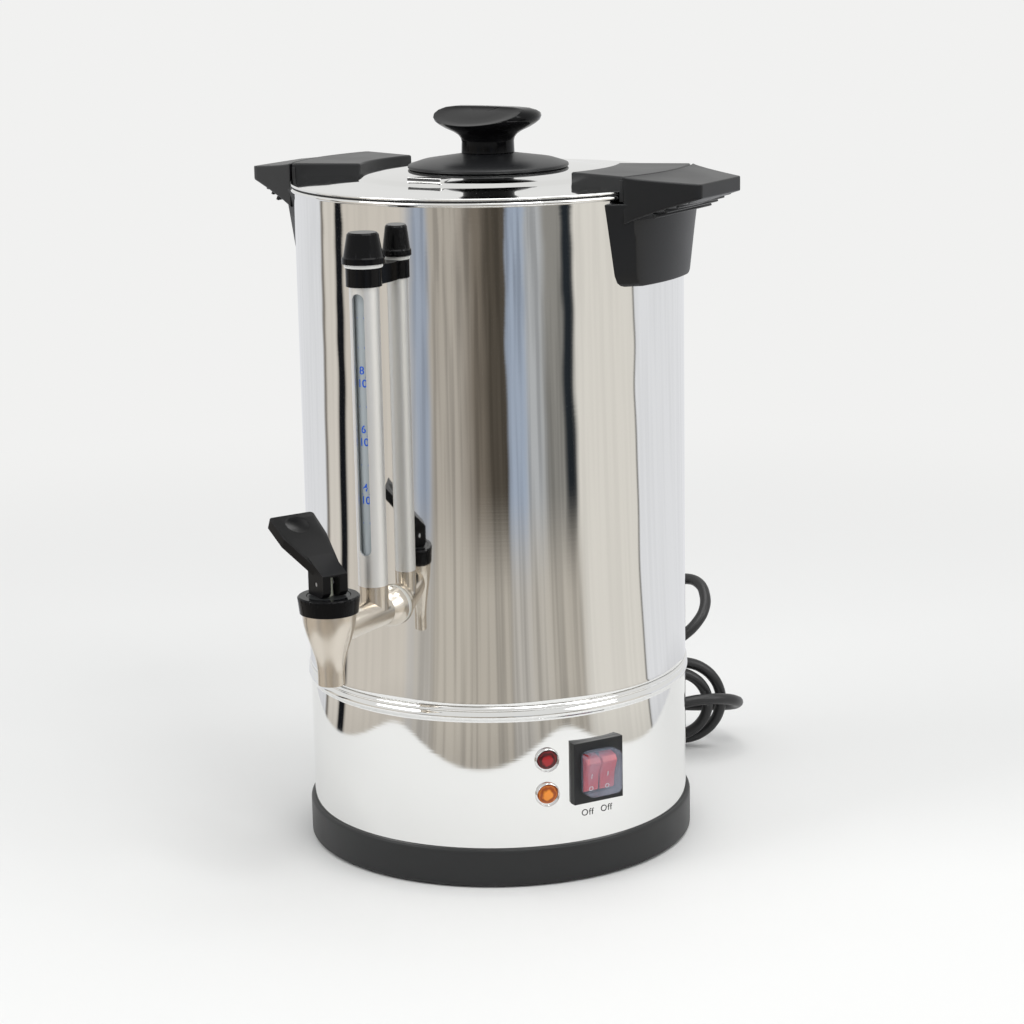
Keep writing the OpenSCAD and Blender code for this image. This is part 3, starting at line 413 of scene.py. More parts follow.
def clearMaterial(name, colour, roughness, transmission, alpha=None, paintedGlow=0):
    # a clear moulding; alpha, where it isn't a glass, is that of its faces and of its edges, the edges
    # following the painted highlight mask; glow is painted light
    material, nodes, links, shader = newMaterial(name)
    grain = groupNode(nodes, links, grainGroup, {
        "Scale": 60, "Rough Low": roughness, "Rough High": roughness + 0.06})
    feed(links, shader, {
        "Base Color": (*colour, 1), "Roughness": grain["Roughness"], "IOR": 1.45,
        "Transmission Weight": transmission, "Emission Color": (*colour, 1), "Emission Strength": paintedGlow})
    if alpha:
        edgeHighlight = groupNode(nodes, links, edgeGroup, {})
        feed(links, shader, {"Alpha": rangeNode(nodes, links, edgeHighlight["Mask"], 0, 1, *alpha)})
    return material


# each moulding's second colour is the painted highlight on its convex edges
blackPlastic = mouldedPlastic(
    "blackPlastic", (0.009, 0.0095, 0.0105), (0.02, 0.021, 0.022), 0.3, 0.42, specular=0.36)
ringPlastic = mouldedPlastic(
    "ringPlastic", (0.018, 0.0185, 0.019), (0.035, 0.035, 0.036), 0.38, 0.5, specular=0.35)
glossBlack = mouldedPlastic(
    "glossBlack", (0.004, 0.004, 0.0045), (0.01, 0.01, 0.011), 0.1, 0.18, depth=0.2, bump=0.02,
    specular=0.12)
leverBlack = mouldedPlastic(
    "leverBlack", (0.004, 0.004, 0.0045), (0.012, 0.012, 0.013), 0.24, 0.34, specular=0.14)
cordPlastic = mouldedPlastic(
    "cordPlastic", (0.012, 0.012, 0.013), (0.02, 0.02, 0.02), 0.32, 0.45, scale=500)
footRubber = mouldedPlastic("footRubber", (0.02, 0.02, 0.02), (0.03, 0.03, 0.03), 0.7, 0.85, scale=400)
strapCloth = mouldedPlastic(
    "strapCloth", (0.03, 0.03, 0.035), (0.05, 0.05, 0.05), 0.8, 0.95, scale=1500, bump=0.4)
paleSilicone = mouldedPlastic("paleSilicone", (0.6, 0.59, 0.55), (0.7, 0.69, 0.65), 0.4, 0.5)
ceramic = mouldedPlastic("ceramic", (0.72, 0.69, 0.62), (0.8, 0.78, 0.7), 0.6, 0.75, scale=300)
wireSleeve = mouldedPlastic(
    "wireSleeve", (0.4, 0.07, 0.05), (0.5, 0.1, 0.08), 0.6, 0.8, scale=2500, bump=0.4)
whiteRing = mouldedPlastic("whiteRing", (0.78, 0.78, 0.76), (0.85, 0.85, 0.83), 0.3, 0.4)
stemNylon = mouldedPlastic("stemNylon", (0.62, 0.64, 0.52), (0.7, 0.72, 0.6), 0.35, 0.5)
# the red rockers carry a painted glow that stands in for the light they catch; they are no lamps
rockerRed = mouldedPlastic(
    "rockerRed", (0.5, 0.03, 0.04), (0.85, 0.16, 0.14), 0.2, 0.3, bump=0.02, paintedGlow=(0.9, 0.06, 0.07, 0.14))
mirrorSteel = polishedMetal("mirrorSteel", (0.86, 0.86, 0.85), 0.025, 0.06)
tankSteel = polishedMetal("tankSteel", (0.86, 0.86, 0.85), 0.025, 0.06, bore=109.4)
satinSteel = polishedMetal(
    "satinSteel", (0.88, 0.88, 0.87), 0.4, 0.52, stretch=(1, 1, 3), scale=300, bump=0.1)
tapMetal = polishedMetal(
    "tapMetal", (0.72, 0.66, 0.58), 0.2, 0.26, stretch=(1, 1, 0.06), scale=260, bump=0.06, drawn=0.5)
chromeTrim = polishedMetal("chromeTrim", (0.82, 0.82, 0.82), 0.06, 0.12)
zincScrew = polishedMetal("zincScrew", (0.66, 0.67, 0.69), 0.3, 0.45, scale=200)
bareAluminium = polishedMetal("bareAluminium", (0.7, 0.71, 0.72), 0.4, 0.55, scale=60)
heaterSheath = polishedMetal("heaterSheath", (0.26, 0.23, 0.2), 0.45, 0.6, scale=90)
# the gauge glass has a small painted glow, standing in for light the dark guard keeps from it
gaugeGlassMaterial = clearMaterial("gaugeGlass", (0.42, 0.46, 0.48), 0.08, 0.1, paintedGlow=0.08)
coverClear = clearMaterial("coverClear", (0.38, 0.42, 0.52), 0.12, 0.0, alpha=(0.13, 0.4))
# the blue scale marks have a painted glow that brightens them; they are print, not a lamp
scaleBlue = mouldedPlastic(
    "scaleBlue", (0.008, 0.09, 0.55), (0.01, 0.1, 0.58), 0.4, 0.5, bump=0, specular=0.1,
    paintedGlow=(0.008, 0.1, 0.6, 0.1))
# black ink for printed marks; in the vent's opening the same ink is painted shade
inkAndPaintedShade = mouldedPlastic("inkAndPaintedShade", (0.03, 0.03, 0.03), (0.05, 0.05, 0.05), 0.5, 0.6, bump=0)


controlShape = {
    "turn": 60.2, "height": 63.2, "wall": 110.0, "face": 113.0, "under": 8.0, "pitch": 10.4,
    "rocker": 13.3, "travel": 26.0, "offAt": ((-5.7, -24.4), (6.6, -24.0)), "offSize": 5.3, "markSize": 5.2,
    "lampTurn": 44.8, "lampHeights": (52.6, 72.6), "lens": 6.3, "lensUp": 0.8, "lensCells": 420,
    "cellShade": 0.22, "lampBody": 4.4, "lampDeep": 21.0,
}


def lensMaterial(name, height, core, dark, rim):
    # a cut lens over a small lamp: a bright middle of small cells, a dark ring and a clearer rim
    c = controlShape
    angle = math.radians(c["lampTurn"])
    out = c["wall"] + 2
    middle = (out * math.sin(angle) * mm, -out * math.cos(angle) * mm, height * mm)
    material, nodes, links, shader = newMaterial(name)
    place = nodes.new("ShaderNodeTexCoord").outputs["Object"]
    apart = addNode(nodes, links, "VectorMath", {0: place, 1: middle}, "DISTANCE").outputs["Value"]
    share = rangeNode(nodes, links, apart, 0, c["lens"] * mm)
    cells = addNode(nodes, links, "TexVoronoi", {"Vector": place, "Scale": c["lensCells"]})
    cut = mathNode(nodes, links, "MULTIPLY_ADD", cells.outputs["Distance"], c["cellShade"], share)
    stops = ((0.0, core), (0.5, core), (0.66, dark), (0.82, dark), (0.93, rim), (1.0, dark))
    colours = rampNode(nodes, links, cut, stops)
    feed(links, shader, {
        "Base Color": colours, "Emission Color": colours, "Emission Strength": 0.12, "Roughness": 0.3,
        "Specular IOR Level": 0.2, "Coat Weight": 0.5, "Coat Roughness": 0.04})
    return material


amberHeight, redHeight = controlShape["lampHeights"]
redLens = lensMaterial(
    "redLens", redHeight, (0.34, 0.012, 0.016), (0.05, 0.002, 0.003), (0.18, 0.006, 0.008))
amberLens = lensMaterial(
    "amberLens", amberHeight, (0.78, 0.26, 0.03), (0.3, 0.06, 0.005), (0.6, 0.17, 0.02))
print("materials made")


def finishPiece(piece, material, body=None, nodes=()):
    piece.data.materials.clear()
    piece.data.materials.append(material)
    if nodes:
        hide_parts(*nodes)
    if body:
        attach(piece, body)
    return piece


# camera

cameraPlace = {
    "azimuth": 31.3, "spot": (781.6, -1285.5, 534.8), "down": 12.95,
    "aside": 0.37, "roll": -1.075, "lens": 93.3, "sensor": 36.0,
}


def makeCamera():
    data = bpy.data.cameras.new("photoCamera")
    camera = bpy.data.objects.new("photoCamera", data)
    bpy.context.scene.collection.objects.link(camera)
    turn = Matrix.Rotation(math.radians(cameraPlace["azimuth"] - cameraPlace["aside"]), 4, "Z")
    tilt = Matrix.Rotation(math.radians(90 - cameraPlace["down"]), 4, "X")
    roll = Matrix.Rotation(math.radians(cameraPlace["roll"]), 4, "Z")
    camera.matrix_world = Matrix.Translation([c * mm for c in cameraPlace["spot"]]) @ turn @ tilt @ roll
    data.sensor_width = cameraPlace["sensor"]
    data.lens = cameraPlace["lens"]
    data.clip_start = 0.05
    data.clip_end = 60
    bpy.context.scene.camera = camera


makeCamera()


# a free mains lead: strain relief, arch, hank, tail and plug

cordShape = {
    "turn": 31, "diameter": 7.0, "hankX": 60.6, "run": 110.0, "bend": 26.5, "innerBend": 22.0, "tuck": 4.5,
    "near": 120.2, "tieThick": 1.2, "startX": 62, "endX": 30, "length": 1.34,
    "lead": [
        (73, 122, 75), (76, 127, 75), (80, 134, 76), (85, 142, 79), (90, 150, 84), (96, 156, 91),
        (104, 160, 98), (113, 159, 104), (122, 154, 107), (129, 146, 106), (132, 136, 101), (131, 127, 94),
        (126, 121, 87), (118, 118, 80), (109, 120, 74), (99, 124, 68), (89, 130, 63), (78, 137, 59)],
    "tail": [
        (44, 124, 5), (58, 120, 8), (72, 115, 16), (87, 111, 25), (103, 109, 33), (119, 109, 38),
        (133, 111, 39), (144, 117, 37), (151, 126, 33), (153, 138, 28), (149, 150, 23), (140, 159.4, 20),
        (128, 166, 18), (114, 168, 18), (99, 168, 18), (84, 168, 18)],
}


def runPoints(fromX, toX, y, z, count):
    return [(fromX + (toX - fromX) * i / count, y, z) for i in range(count + 1)]


def bendPoints(middleX, side, middleZ, radius, fromY, toY, upwards, count=10):
    # a half turn round one end of the hank, without its two end points
    found = []
    for i in range(1, count):
        share = i / count
        angle = math.pi * (share - 0.5) * (1 if upwards else -1)
        found.append((middleX + side * radius * math.cos(angle), fromY + (toY - fromY) * share,
                      middleZ + radius * math.sin(angle)))
    return found


def hankPoints():
    # three laps from back to front, the last of them tucked inside the other two
    c = cordShape
    middle = c["bend"] + c["diameter"] / 2 + c["tieThick"] + 0.1
    top, bottom = middle + c["bend"], middle - c["bend"]
    innerTop, innerBottom = middle + c["innerBend"], middle - c["innerBend"]
    half, drop = (c["bend"] + c["innerBend"]) / 2, (c["bend"] - c["innerBend"]) / 2
    left, right = c["hankX"] - c["run"] / 2, c["hankX"] + c["run"] / 2
    inner = right - c["tuck"]
    far, mid, near = [c["near"] + (lap + 0.5) * c["diameter"] for lap in (2, 1, 0)]
    found = runPoints(c["startX"], left, far, top, 4)
    found += bendPoints(left, -1, middle, c["bend"], far, far, False)
    found += runPoints(left, right, far, bottom, 4)
    found += bendPoints(right, 1, middle, c["bend"], far, mid, True)
    found += runPoints(right, left, mid, top, 4)
    found += bendPoints(left, -1, middle + drop, half, mid, mid, False)
    found += runPoints(left, inner, mid, innerBottom, 4)
    found += bendPoints(inner, 1, middle, c["innerBend"], mid, near, True)
    found += runPoints(inner, left, near, innerTop, 4)
    found += bendPoints(left, -1, middle - drop, half, near, near, False)
    found += runPoints(left, c["endX"], near, bottom, 2)
    return found


def makeCord():
    c = cordShape
    turn = Matrix.Rotation(math.radians(c["turn"]), 4, "Z")
    route = [turn @ Vector([v * mm for v in p]) for p in c["lead"] + hankPoints() + c["tail"]]
    curve = bpy.data.curves.new("mainsLead", "CURVE")
    curve.dimensions = "3D"
    curve.bevel_depth = c["diameter"] / 2 * mm
    curve.bevel_resolution = 4
    curve.resolution_u = 6
    spline = curve.splines.new("BEZIER")
    spline.bezier_points.add(len(route) - 1)
    for point, spot in zip(spline.bezier_points, route):
        point.co = spot
        point.handle_left_type = point.handle_right_type = "AUTO"
    lead = bpy.data.objects.new("mainsLead", curve)
    bpy.context.scene.collection.objects.link(lead)
    finishPiece(lead, cordPlastic, "urn", ("cord_lead", "cord_hank", "cord_tail"))
    return lead, route[0]


mainsLead, leadExit = makeCord()
plug = dressCopy("plug_body", "plugBody", 0.6)
finishPiece(plug, cordPlastic)
strap = dressCopy("cord_tie", "cordTie", 0.2)
finishPiece(strap, strapCloth)
pins = dressCopy("plug_pins", "plugPins", 0.3)
finishPiece(pins, chromeTrim)
relief = dressCopy("strain_relief", "strainRelief", 0.3)
finishPiece(relief, cordPlastic)
print("cord made")


# every solid gets the finish of its slot first

slotFinish = {
    "base_plastic": ringPlastic, "black_plastic": blackPlastic, "rubber": footRubber, "zinc": zincScrew,
    "galvanised": bareAluminium, "aluminium": bareAluminium, "element": heaterSheath, "ceramic": ceramic,
    "wire": wireSleeve, "cord_plastic": cordPlastic, "tie": strapCloth, "nickel": chromeTrim,
    "tap_metal": tapMetal, "silicone": paleSilicone, "stem_plastic": stemNylon, "gauge_metal": satinSteel,
    "clear_glass": gaugeGlassMaterial, "white_plastic": whiteRing, "red_plastic": rockerRed,
    "clear_plastic": coverClear, "red_lens": redLens, "amber_lens": amberLens,
    "polished_steel": mirrorSteel,
}
for row in frame["record"]["subparts"]:
    solid = frame["nodes"][row["node"]]
    solid.data.materials.clear()
    solid.data.materials.append(slotFinish[row["material_slot"]])
print("finishes on", len(frame["nodes"]), "solids")


# the steel body

bodyShape = {
    "radius": 110.0, "sheet": 1.0, "tankLow": 104.4, "rimTop": 381.2, "beadRadius": 1.3, "beadAt": 110.9,
    "skirtLow": 5.7, "ledge": 100.0, "fillet": 3.0, "seam": 95.4,
    "ridges": ((96.2, 101.4, 1.2), (101.5, 104.2, 0.9)), "ridgeSteps": 8,
}


def makeTank():
    b = bodyShape
    radius, low, fillet = b["radius"], b["tankLow"], b["fillet"]
    inner = radius - b["sheet"]
    beadZ = b["rimTop"] - b["beadRadius"]
    outline = [(0, low + 1), (inner - fillet, low + 1)]
    outline += arcPoints((inner - fillet, low + 1 + fillet), fillet, -90, 0, 5)[1:]
    outline += [(inner, b["rimTop"] - 20), (inner, beadZ - 1.2)]
    outline += arcPoints((b["beadAt"], beadZ), b["beadRadius"], 190, -50, 14)
    outline += [(radius, beadZ - 1.6), (radius, beadZ - 6), (radius, 250), (radius, low + 3)]
    outline += arcPoints((radius - 1, low + 1), 1, 0, -90, 3)
    outline += [(0, low)]
    piece = latheShape("tankShell", outline, fineSteps)
    return finishPiece(piece, tankSteel, "urn", ("tank",))


def makeSkirt():
    b = bodyShape
    radius, inner, top = b["radius"], b["radius"] - b["sheet"], b["tankLow"]
    outline = [(inner, b["skirtLow"]), (radius, b["skirtLow"]), (radius, 60), (radius, b["seam"])]
    for low, high, out in b["ridges"]:
        for i in range(b["ridgeSteps"] + 1):
            share = i / b["ridgeSteps"]
            outline.append((radius + out * math.sin(math.pi * share) ** 0.8, low + (high - low) * share))
    outline += [(radius, top), (b["ledge"], top), (b["ledge"], top - 1), (inner, top - 1),
                (inner, b["skirtLow"])]
    piece = latheShape("skirtShell", outline, fineSteps, 50)
    return finishPiece(piece, mirrorSteel, "urn", ("skirt",))


ringShape = {
    "out": 112.4, "top": 22.4, "fit": 110.1, "flangeIn": 92.0, "footTop": 3.2, "floor": 5.7, "low": 1.2,
}


def makeBaseRing():
    r = ringShape
    out, inner, foot = r["out"], r["flangeIn"], r["footTop"]
    outline = [(inner, foot), (out - 3.9, foot), (out - 2.9, r["low"]), (out - 1, r["low"])]
    outline += arcPoints((out - 1, r["low"] + 1), 1, -80, 0, 4)
    outline += [(out, 8), (out, r["top"] - 3)]
    outline += arcPoints((out - 1.6, r["top"] - 1.6), 1.6, 0, 90, 6)
    outline += [(r["fit"], r["top"]), (r["fit"], r["floor"]), (inner, r["floor"]), (inner, foot)]
    piece = latheShape("baseRing", outline, fineSteps)
    return finishPiece(piece, ringPlastic, "urn", ("base_ring",))


makeTank()
makeSkirt()
makeBaseRing()
print("body made")


# the lid with its step, its vent and its knob

lidShape = {
    "low": 381.9, "edge": 383.3, "top": 389.1, "flat": 46.0, "step": 71.0, "out": 112.1, "collar": 107.8,
    "collarLow": 371.9, "sheet": 0.8, "ventWide": 22.0, "ventAt": 68.0, "ventDeep": 13.0,
}


def lidUpper():
    s = lidShape
    top, step, edge = s["top"], s["step"], s["edge"]
    return [(0, top), (30, top), (s["flat"], top - 0.2), (58, top - 0.9), (step - 3, top - 2.0),
            (step, top - 2.6), (step + 2, top - 3.8), (step + 5, top - 4.5), (96, top - 4.9),
            (106, edge + 0.3), (s["out"] - 0.8, edge)]


def lidHeight(radius):
    rows = lidUpper()
    for (near, high), (far, low) in zip(rows, rows[1:]):
        if radius <= far:
            return between(high, low, (radius - near) / (far - near))
    return rows[-1][1]


def makeLid():
    s = lidShape
    upper = lidUpper()
    collar, sheet = s["collar"], s["sheet"]
    edge = arcPoints((s["out"] - 0.7, (s["edge"] + s["low"]) / 2), 0.7, 80, -80, 6)
    rim = [(collar, s["low"]), (collar, s["collarLow"]), (collar - sheet, s["collarLow"]),
           (collar - sheet, s["edge"] - sheet)]
    under = [(r, z - sheet) for r, z in reversed(upper) if r < collar - 1]
    piece = latheShape("lidShell", upper + edge + rim + under, fineSteps, 40)
    return finishPiece(piece, mirrorSteel, "lid", ("lid",))


def makeVent():
    # a louvre pressed up out of the lid, open towards the tap
    s = lidShape
    base = s["top"] - 1.6
    middle = -s["ventAt"] + s["ventDeep"] / 2
    hood = boxShape("ventHood", (s["ventWide"], s["ventDeep"], 2.6), (0, middle, base + 0.6))
    editAll(hood)
    mesh = bmesh.from_edit_mesh(hood.data)
    for vert in mesh.verts:
        if vert.co.y > middle * mm and vert.co.z > base * mm:
            vert.co.z -= 0.9 * mm
            vert.co.x *= 0.86
    bmesh.update_edit_mesh(hood.data)
    bpy.ops.object.mode_set(mode="OBJECT")
    roundEdges(hood, 0.5, 3)
    finishPiece(hood, mirrorSteel, "lid")
    # a flat black block set in the louvre's opening is painted shade, where the opening looks dark
    shadeBlock = boxShape("ventPaintedShade", (s["ventWide"] - 1.2, 0.6, 1.5), (0, -s["ventAt"] - 0.1, base + 0.85))
    roundEdges(shadeBlock, 0.15, 1)
    finishPiece(shadeBlock, inkAndPaintedShade, "lid")


knobShape = {
    "foot": 389.1, "disc": 45.5, "discHigh": 8.2, "bore": 2.5, "neck": 15.0, "head": 30.5, "tall": 26.0,
    "facetTilt": 20.0, "facetAt": -4.0, "dish": ((0.95, 0.06), (0.92, 0.25), (0.8, 0.35), (0.6, 0.12)),
}


def makeKnobBase():
    k = knobShape
    z, bore, disc, neck, high = k["foot"], k["bore"], k["disc"], k["neck"], k["foot"] + k["discHigh"]
    outline = [(bore, z), (disc - 1, z)]
    outline += arcPoints((disc - 1.1, z + 1.1), 1.1, -80, 70, 6)
    outline += [(disc - 4, z + 3.2), (38, z + 4.3), (30, z + 5.5), (22, z + 6.7), (neck + 2.5, z + 7.4),
                (neck + 0.8, z + 7.8), (neck, high), (bore, high), (bore, z)]
    piece = latheShape("knobBase", outline, 160, 40)
    return finishPiece(piece, blackPlastic, "lid", ("knob_base",))


def makeKnob():
    k = knobShape
    z, neck, head = k["foot"] + k["discHigh"], k["neck"], k["head"]
    outline = [(k["bore"], z), (neck - 0.4, z), (neck, z + 0.5), (neck - 0.2, z + 6.5),
               (neck + 0.3, z + 8.5), (neck + 1.8, z + 10.4), (neck + 4.6, z + 12.2),
               (neck + 9, z + 14.2), (neck + 12.6, z + 16.4), (head - 0.8, z + 18.2), (head, z + 20.2),
               (head - 0.5, z + 22.2), (head - 2.2, z + 23.9), (head - 5.5, z + 25.2),
               (head - 11, z + 25.8), (10, z + k["tall"]), (0, z + k["tall"])]
    piece = latheShape("knobHead", outline, 160, 40)
    tilt = math.radians(k["facetTilt"])
    for side in (1, -1):
        editAll(piece)
        spot = Vector((0, side * k["facetAt"] * mm, (z + k["tall"] - 0.5) * mm))
        normal = Vector((0, -side * math.sin(tilt), math.cos(tilt)))
        bpy.ops.mesh.bisect(plane_co=spot, plane_no=normal, use_fill=True, clear_outer=True)
        bpy.ops.mesh.select_all(action="DESELECT")
        mesh = bmesh.from_edit_mesh(piece.data)
        facets = [f for f in mesh.faces if f.normal.dot(normal) > 0.999 and len(f.verts) > 12]
        middle = facets[0].calc_center_median()
        facets[0].select_set(True)
        bmesh.update_edit_mesh(piece.data)
        for shrink, sink in k["dish"]:
            bpy.ops.mesh.extrude_region_move(TRANSFORM_OT_translate={"value": -normal * sink * mm})
            bpy.ops.transform.resize(value=(shrink, shrink, shrink), center_override=middle)
        bpy.ops.object.mode_set(mode="OBJECT")
    smoothShade(piece, 40)
    return finishPiece(piece, glossBlack, "lid", ("knob",))


makeLid()
makeVent()
makeKnobBase()
makeKnob()
print("lid made")


# handles and lugs, each a moulding of its own, made on +X and turned round for -X

gripShape = {
    "top": 391.2, "lugIn": 74.0, "lugInWide": 27.3, "lugOut": 114.9, "lugOutWide": 39.8, "tabLow": 377.5,
    "tabIn": 112.5, "sunk": 1.25, "splitIn": 115.75, "splitWide": 41.0, "tip": 146.5, "tipWide": 25.0,
    "tipCorner": 2.0, "tipTop": 386.9, "tipLow": 379.2, "wingLow": 365.7, "sag": 0.72, "sweep": 0.85,
    "ribs": 4,
    "apronTop": 376.7, "apronLow": 331.2, "apronWide": 46.3, "panelWide": 38.5, "apronTaper": 5.8,
    "corner": 7.0, "wall": 110.06, "panelTop": 119.8, "panelLow": 115.8, "ribWide": 1.6, "ribDeep": 2.4,
    "ribOut": 0.35, "softEdge": 1.2, "gripEdge": 1.6, "thinEdge": 0.4,
}


def ringSpot(radius, y):
    return math.sqrt(radius * radius - y * y), y


def cornerDrop(y, half, corner):
    # how far a rounded corner draws back an edge at y, for an edge of this half width
    past = min(1, max(0, (abs(y) - half + corner) / corner))
    return corner * (1 - math.sqrt(1 - past * past))


def makeLug(node, side):
    g = gripShape

    def plate(u, v, sheet):
        inX, inY = ringSpot(g["lugIn"], (2 * u - 1) * g["lugInWide"])
        outX, outY = ringSpot(g["lugOut"], (2 * u - 1) * g["lugOutWide"])
        x, y = between(inX, outX, v), between(inY, outY, v)
        z = lidHeight(math.hypot(x, y)) - g["sunk"] if sheet else g["top"]
        return side * x, side * y, z

    def tab(u, v, sheet):
        wide = (2 * u - 1) * (g["lugOutWide"] - 0.1)
        x, y = ringSpot(g["tabIn"] if sheet else g["lugOut"] - 0.04, wide)
        return side * x, side * y, between(g["top"] - 2, g["tabLow"], v)

    piece = gridSolid(node + "Plate", 20, 12, plate)
    roundEdges(piece, g["softEdge"], 4, 40)
    skirt = gridSolid(node + "Tab", 20, 2, tab)
    roundEdges(skirt, g["thinEdge"], 2, 40)
    finishPiece(joinPieces([piece, skirt]), blackPlastic, "lid", (node,))


def makeHandle(node, side):
    g = gripShape

    def wing(u, v, sheet):
        inX, inY = ringSpot(g["splitIn"], (2 * u - 1) * g["splitWide"])
        tipY = (2 * u - 1) * g["tipWide"]
        tipX = g["tip"] - cornerDrop(tipY, g["tipWide"], g["tipCorner"])
        x, y = between(inX, tipX, v), between(inY, tipY, v)
        if sheet:
            return side * x, side * y, between(g["wingLow"], g["tipLow"], v ** g["sweep"])
        return side * x, side * y, between(g["top"], g["tipTop"], v ** g["sag"])

    def apron(u, v, sheet):
        half = (g["apronWide"] if sheet else g["panelWide"]) - g["apronTaper"] * v
        radius = g["wall"] if sheet else between(g["panelTop"], g["panelLow"], v)
        x, y = ringSpot(radius, (2 * u - 1) * half)
        low = g["apronLow"] + cornerDrop(y, half, g["corner"])
        return side * x, side * y, between(g["apronTop"], low, v)

    grip = gridSolid(node + "Wing", 30, 14, wing)
    roundEdges(grip, g["gripEdge"], 4, 40)
    shield = gridSolid(node + "Apron", 40, 16, apron)
    roundEdges(shield, g["softEdge"], 3, 40)
    pieces = [grip, shield]
    slope = math.atan((g["tipLow"] - g["wingLow"]) / (g["tip"] - g["splitIn"]))
    for index in range(1, g["ribs"] + 1):
        share = index / (g["ribs"] + 1)
        x = between(g["splitIn"] + 2, g["tip"] - 2, share)
        wide = 2 * between(g["splitWide"] - 5, g["tipWide"] - 3, share)
        z = between(g["wingLow"], g["tipLow"], share ** g["sweep"]) + g["ribDeep"] / 2 - g["ribOut"]
        rib = boxShape("%sRib%d" % (node, index), (g["ribWide"], wide, g["ribDeep"]), (0, 0, 0))
        roundEdges(rib, g["thinEdge"], 2)
        place = Matrix.Translation((side * x * mm, 0, z * mm))
        turnInto(rib, place @ Matrix.Rotation(-side * slope, 4, "Y"))
        pieces.append(rib)
    finishPiece(joinPieces(pieces), blackPlastic, "urn", (node,))


for name, side in (("right", 1), ("left", -1)):
    makeLug("lid_lug_" + name, side)
    makeHandle("handle_" + name, side)
print("handles made")


# gauge: guard, glass with its scale, seals, cap and clip

gaugeShape = {
    "axis": 128.8, "turn": 2.0, "glass": 5.0, "topMark": 321.9, "step": 15.9, "lowest": 3,
    "tickWide": 4.4, "tickHigh": 0.7, "figure": 6.0, "lift": 3.5, "figures": (4, 6, 8),
}


def wrapOnGlass(piece, height):
    # a flat mark in X and Z is laid round the front of the glass
    g = gaugeShape
    radius = (g["glass"] + 0.06) * mm
    for vert in piece.data.vertices:
        angle = vert.co.x / radius + math.radians(g["turn"])
        rise, deep = vert.co.y, vert.co.z
        out = radius + deep
        vert.co = (out * math.sin(angle), -g["axis"] * mm - out * math.cos(angle), height * mm + rise)
    piece.data.update()


def textShape(name, words, size, thick=0.05, heavier=0.012, apart=1.0):
    clearSelection()
    bpy.ops.object.text_add()
    piece = bpy.context.object
    piece.name = name
    piece.data.body = words
    piece.data.size = size * mm
    piece.data.align_x = "CENTER"
    piece.data.align_y = "CENTER"
    piece.data.extrude = thick * mm
    piece.data.offset = heavier * size * mm
    piece.data.space_character = apart
    pick(piece)
    bpy.ops.object.convert(target="MESH")
    return bpy.context.object


def gaugeFigure(tenths):
    g = gaugeShape
    height = g["topMark"] - (10 - tenths) * g["step"]
    for part, words, lift in (("Upper", str(tenths), g["lift"]), ("Lower", "10", -g["lift"])):
        figure = textShape("gaugeFigure%d%s" % (tenths, part), words, g["figure"])
        wrapOnGlass(figure, height + lift)
        finishPiece(figure, scaleBlue, "urn")


def gaugeTick(tenths):
    g = gaugeShape
    tick = boxShape("gaugeTick%d" % tenths, (g["tickWide"], g["tickHigh"], 0.06), (0, 0, 0))
    wrapOnGlass(tick, g["topMark"] - (10 - tenths) * g["step"])
    finishPiece(tick, scaleBlue, "urn")


for tenths in range(gaugeShape["lowest"], 11):
    gaugeTick(tenths)
    if tenths in gaugeShape["figures"]:
        gaugeFigure(tenths)
for node, width, material in (
        ("gauge_guard", 0.35, satinSteel), ("gauge_cap", 0.3, glossBlack), ("gauge_clip", 0.4, glossBlack),
        ("gauge_ring", 0.4, whiteRing), ("gauge_glass", 0, gaugeGlassMaterial)):
    finishPiece(dressCopy(node, width=width), material)
print("gauge made")


# tap

finishPiece(dressCopy("tap_body", width=0.35, angle=35), tapMetal)
finishPiece(dressCopy("tap_bonnet", width=0.3), glossBlack)
finishPiece(dressCopy("tap_lever", width=1.0, segments=3), leverBlack)
finishPiece(dressCopy("valve_stem", width=0.2), stemNylon)
print("tap made")


# switch and lamps

finishPiece(dressCopy("switch_housing", width=1.0, segments=3), blackPlastic)
finishPiece(dressCopy("rocker_boil", width=0.7, segments=3), rockerRed)
finishPiece(dressCopy("rocker_warm", width=0.7, segments=3), rockerRed)
finishPiece(dressCopy("switch_cover", width=0.5), coverClear)


def makeLamp(node, height, material):
    # a domed lens on the lamp's body
    c = controlShape
    lens = c["lens"]
    dome = [(0, 2.3), (lens * 0.3, 2.2), (lens * 0.55, 1.9), (lens * 0.75, 1.5), (lens * 0.9, 1.0),
            (lens, 0.3)]
    body = [(lens, 0.25), (c["lampBody"], 0.25), (c["lampBody"], -c["lampDeep"]), (0, -c["lampDeep"])]
    piece = latheShape(node + "Lens", dome + body, 64)
    for vert in piece.data.vertices:
        # the dome sits a little high on its body
        vert.co.y += c["lensUp"] * mm if vert.co.z > 0.2 * mm else 0
    turnInto(piece, wallMatrix(c["lampTurn"], height, c["wall"]))
    finishPiece(piece, material, "urn", (node,))


makeLamp("lamp_amber", amberHeight, amberLens)
makeLamp("lamp_red", redHeight, redLens)
finishPiece(dressCopy("lamp_bezels", width=0.25), chromeTrim)


def makeOffWords():
    c = controlShape
    radius = (c["wall"] + 0.05) * mm
    for index, (aside, up) in enumerate(c["offAt"]):
        words = textShape("offMark%d" % index, "Off", c["offSize"], 0.03, 0.006, 1.13)
        for vert in words.data.vertices:
            angle = math.radians(c["turn"]) + aside * mm / radius + vert.co.x / radius
            out = radius + vert.co.z
            vert.co = (out * math.sin(angle), -out * math.cos(angle), (c["height"] + up) * mm + vert.co.y)
        words.data.update()
        finishPiece(words, inkAndPaintedShade, "urn")


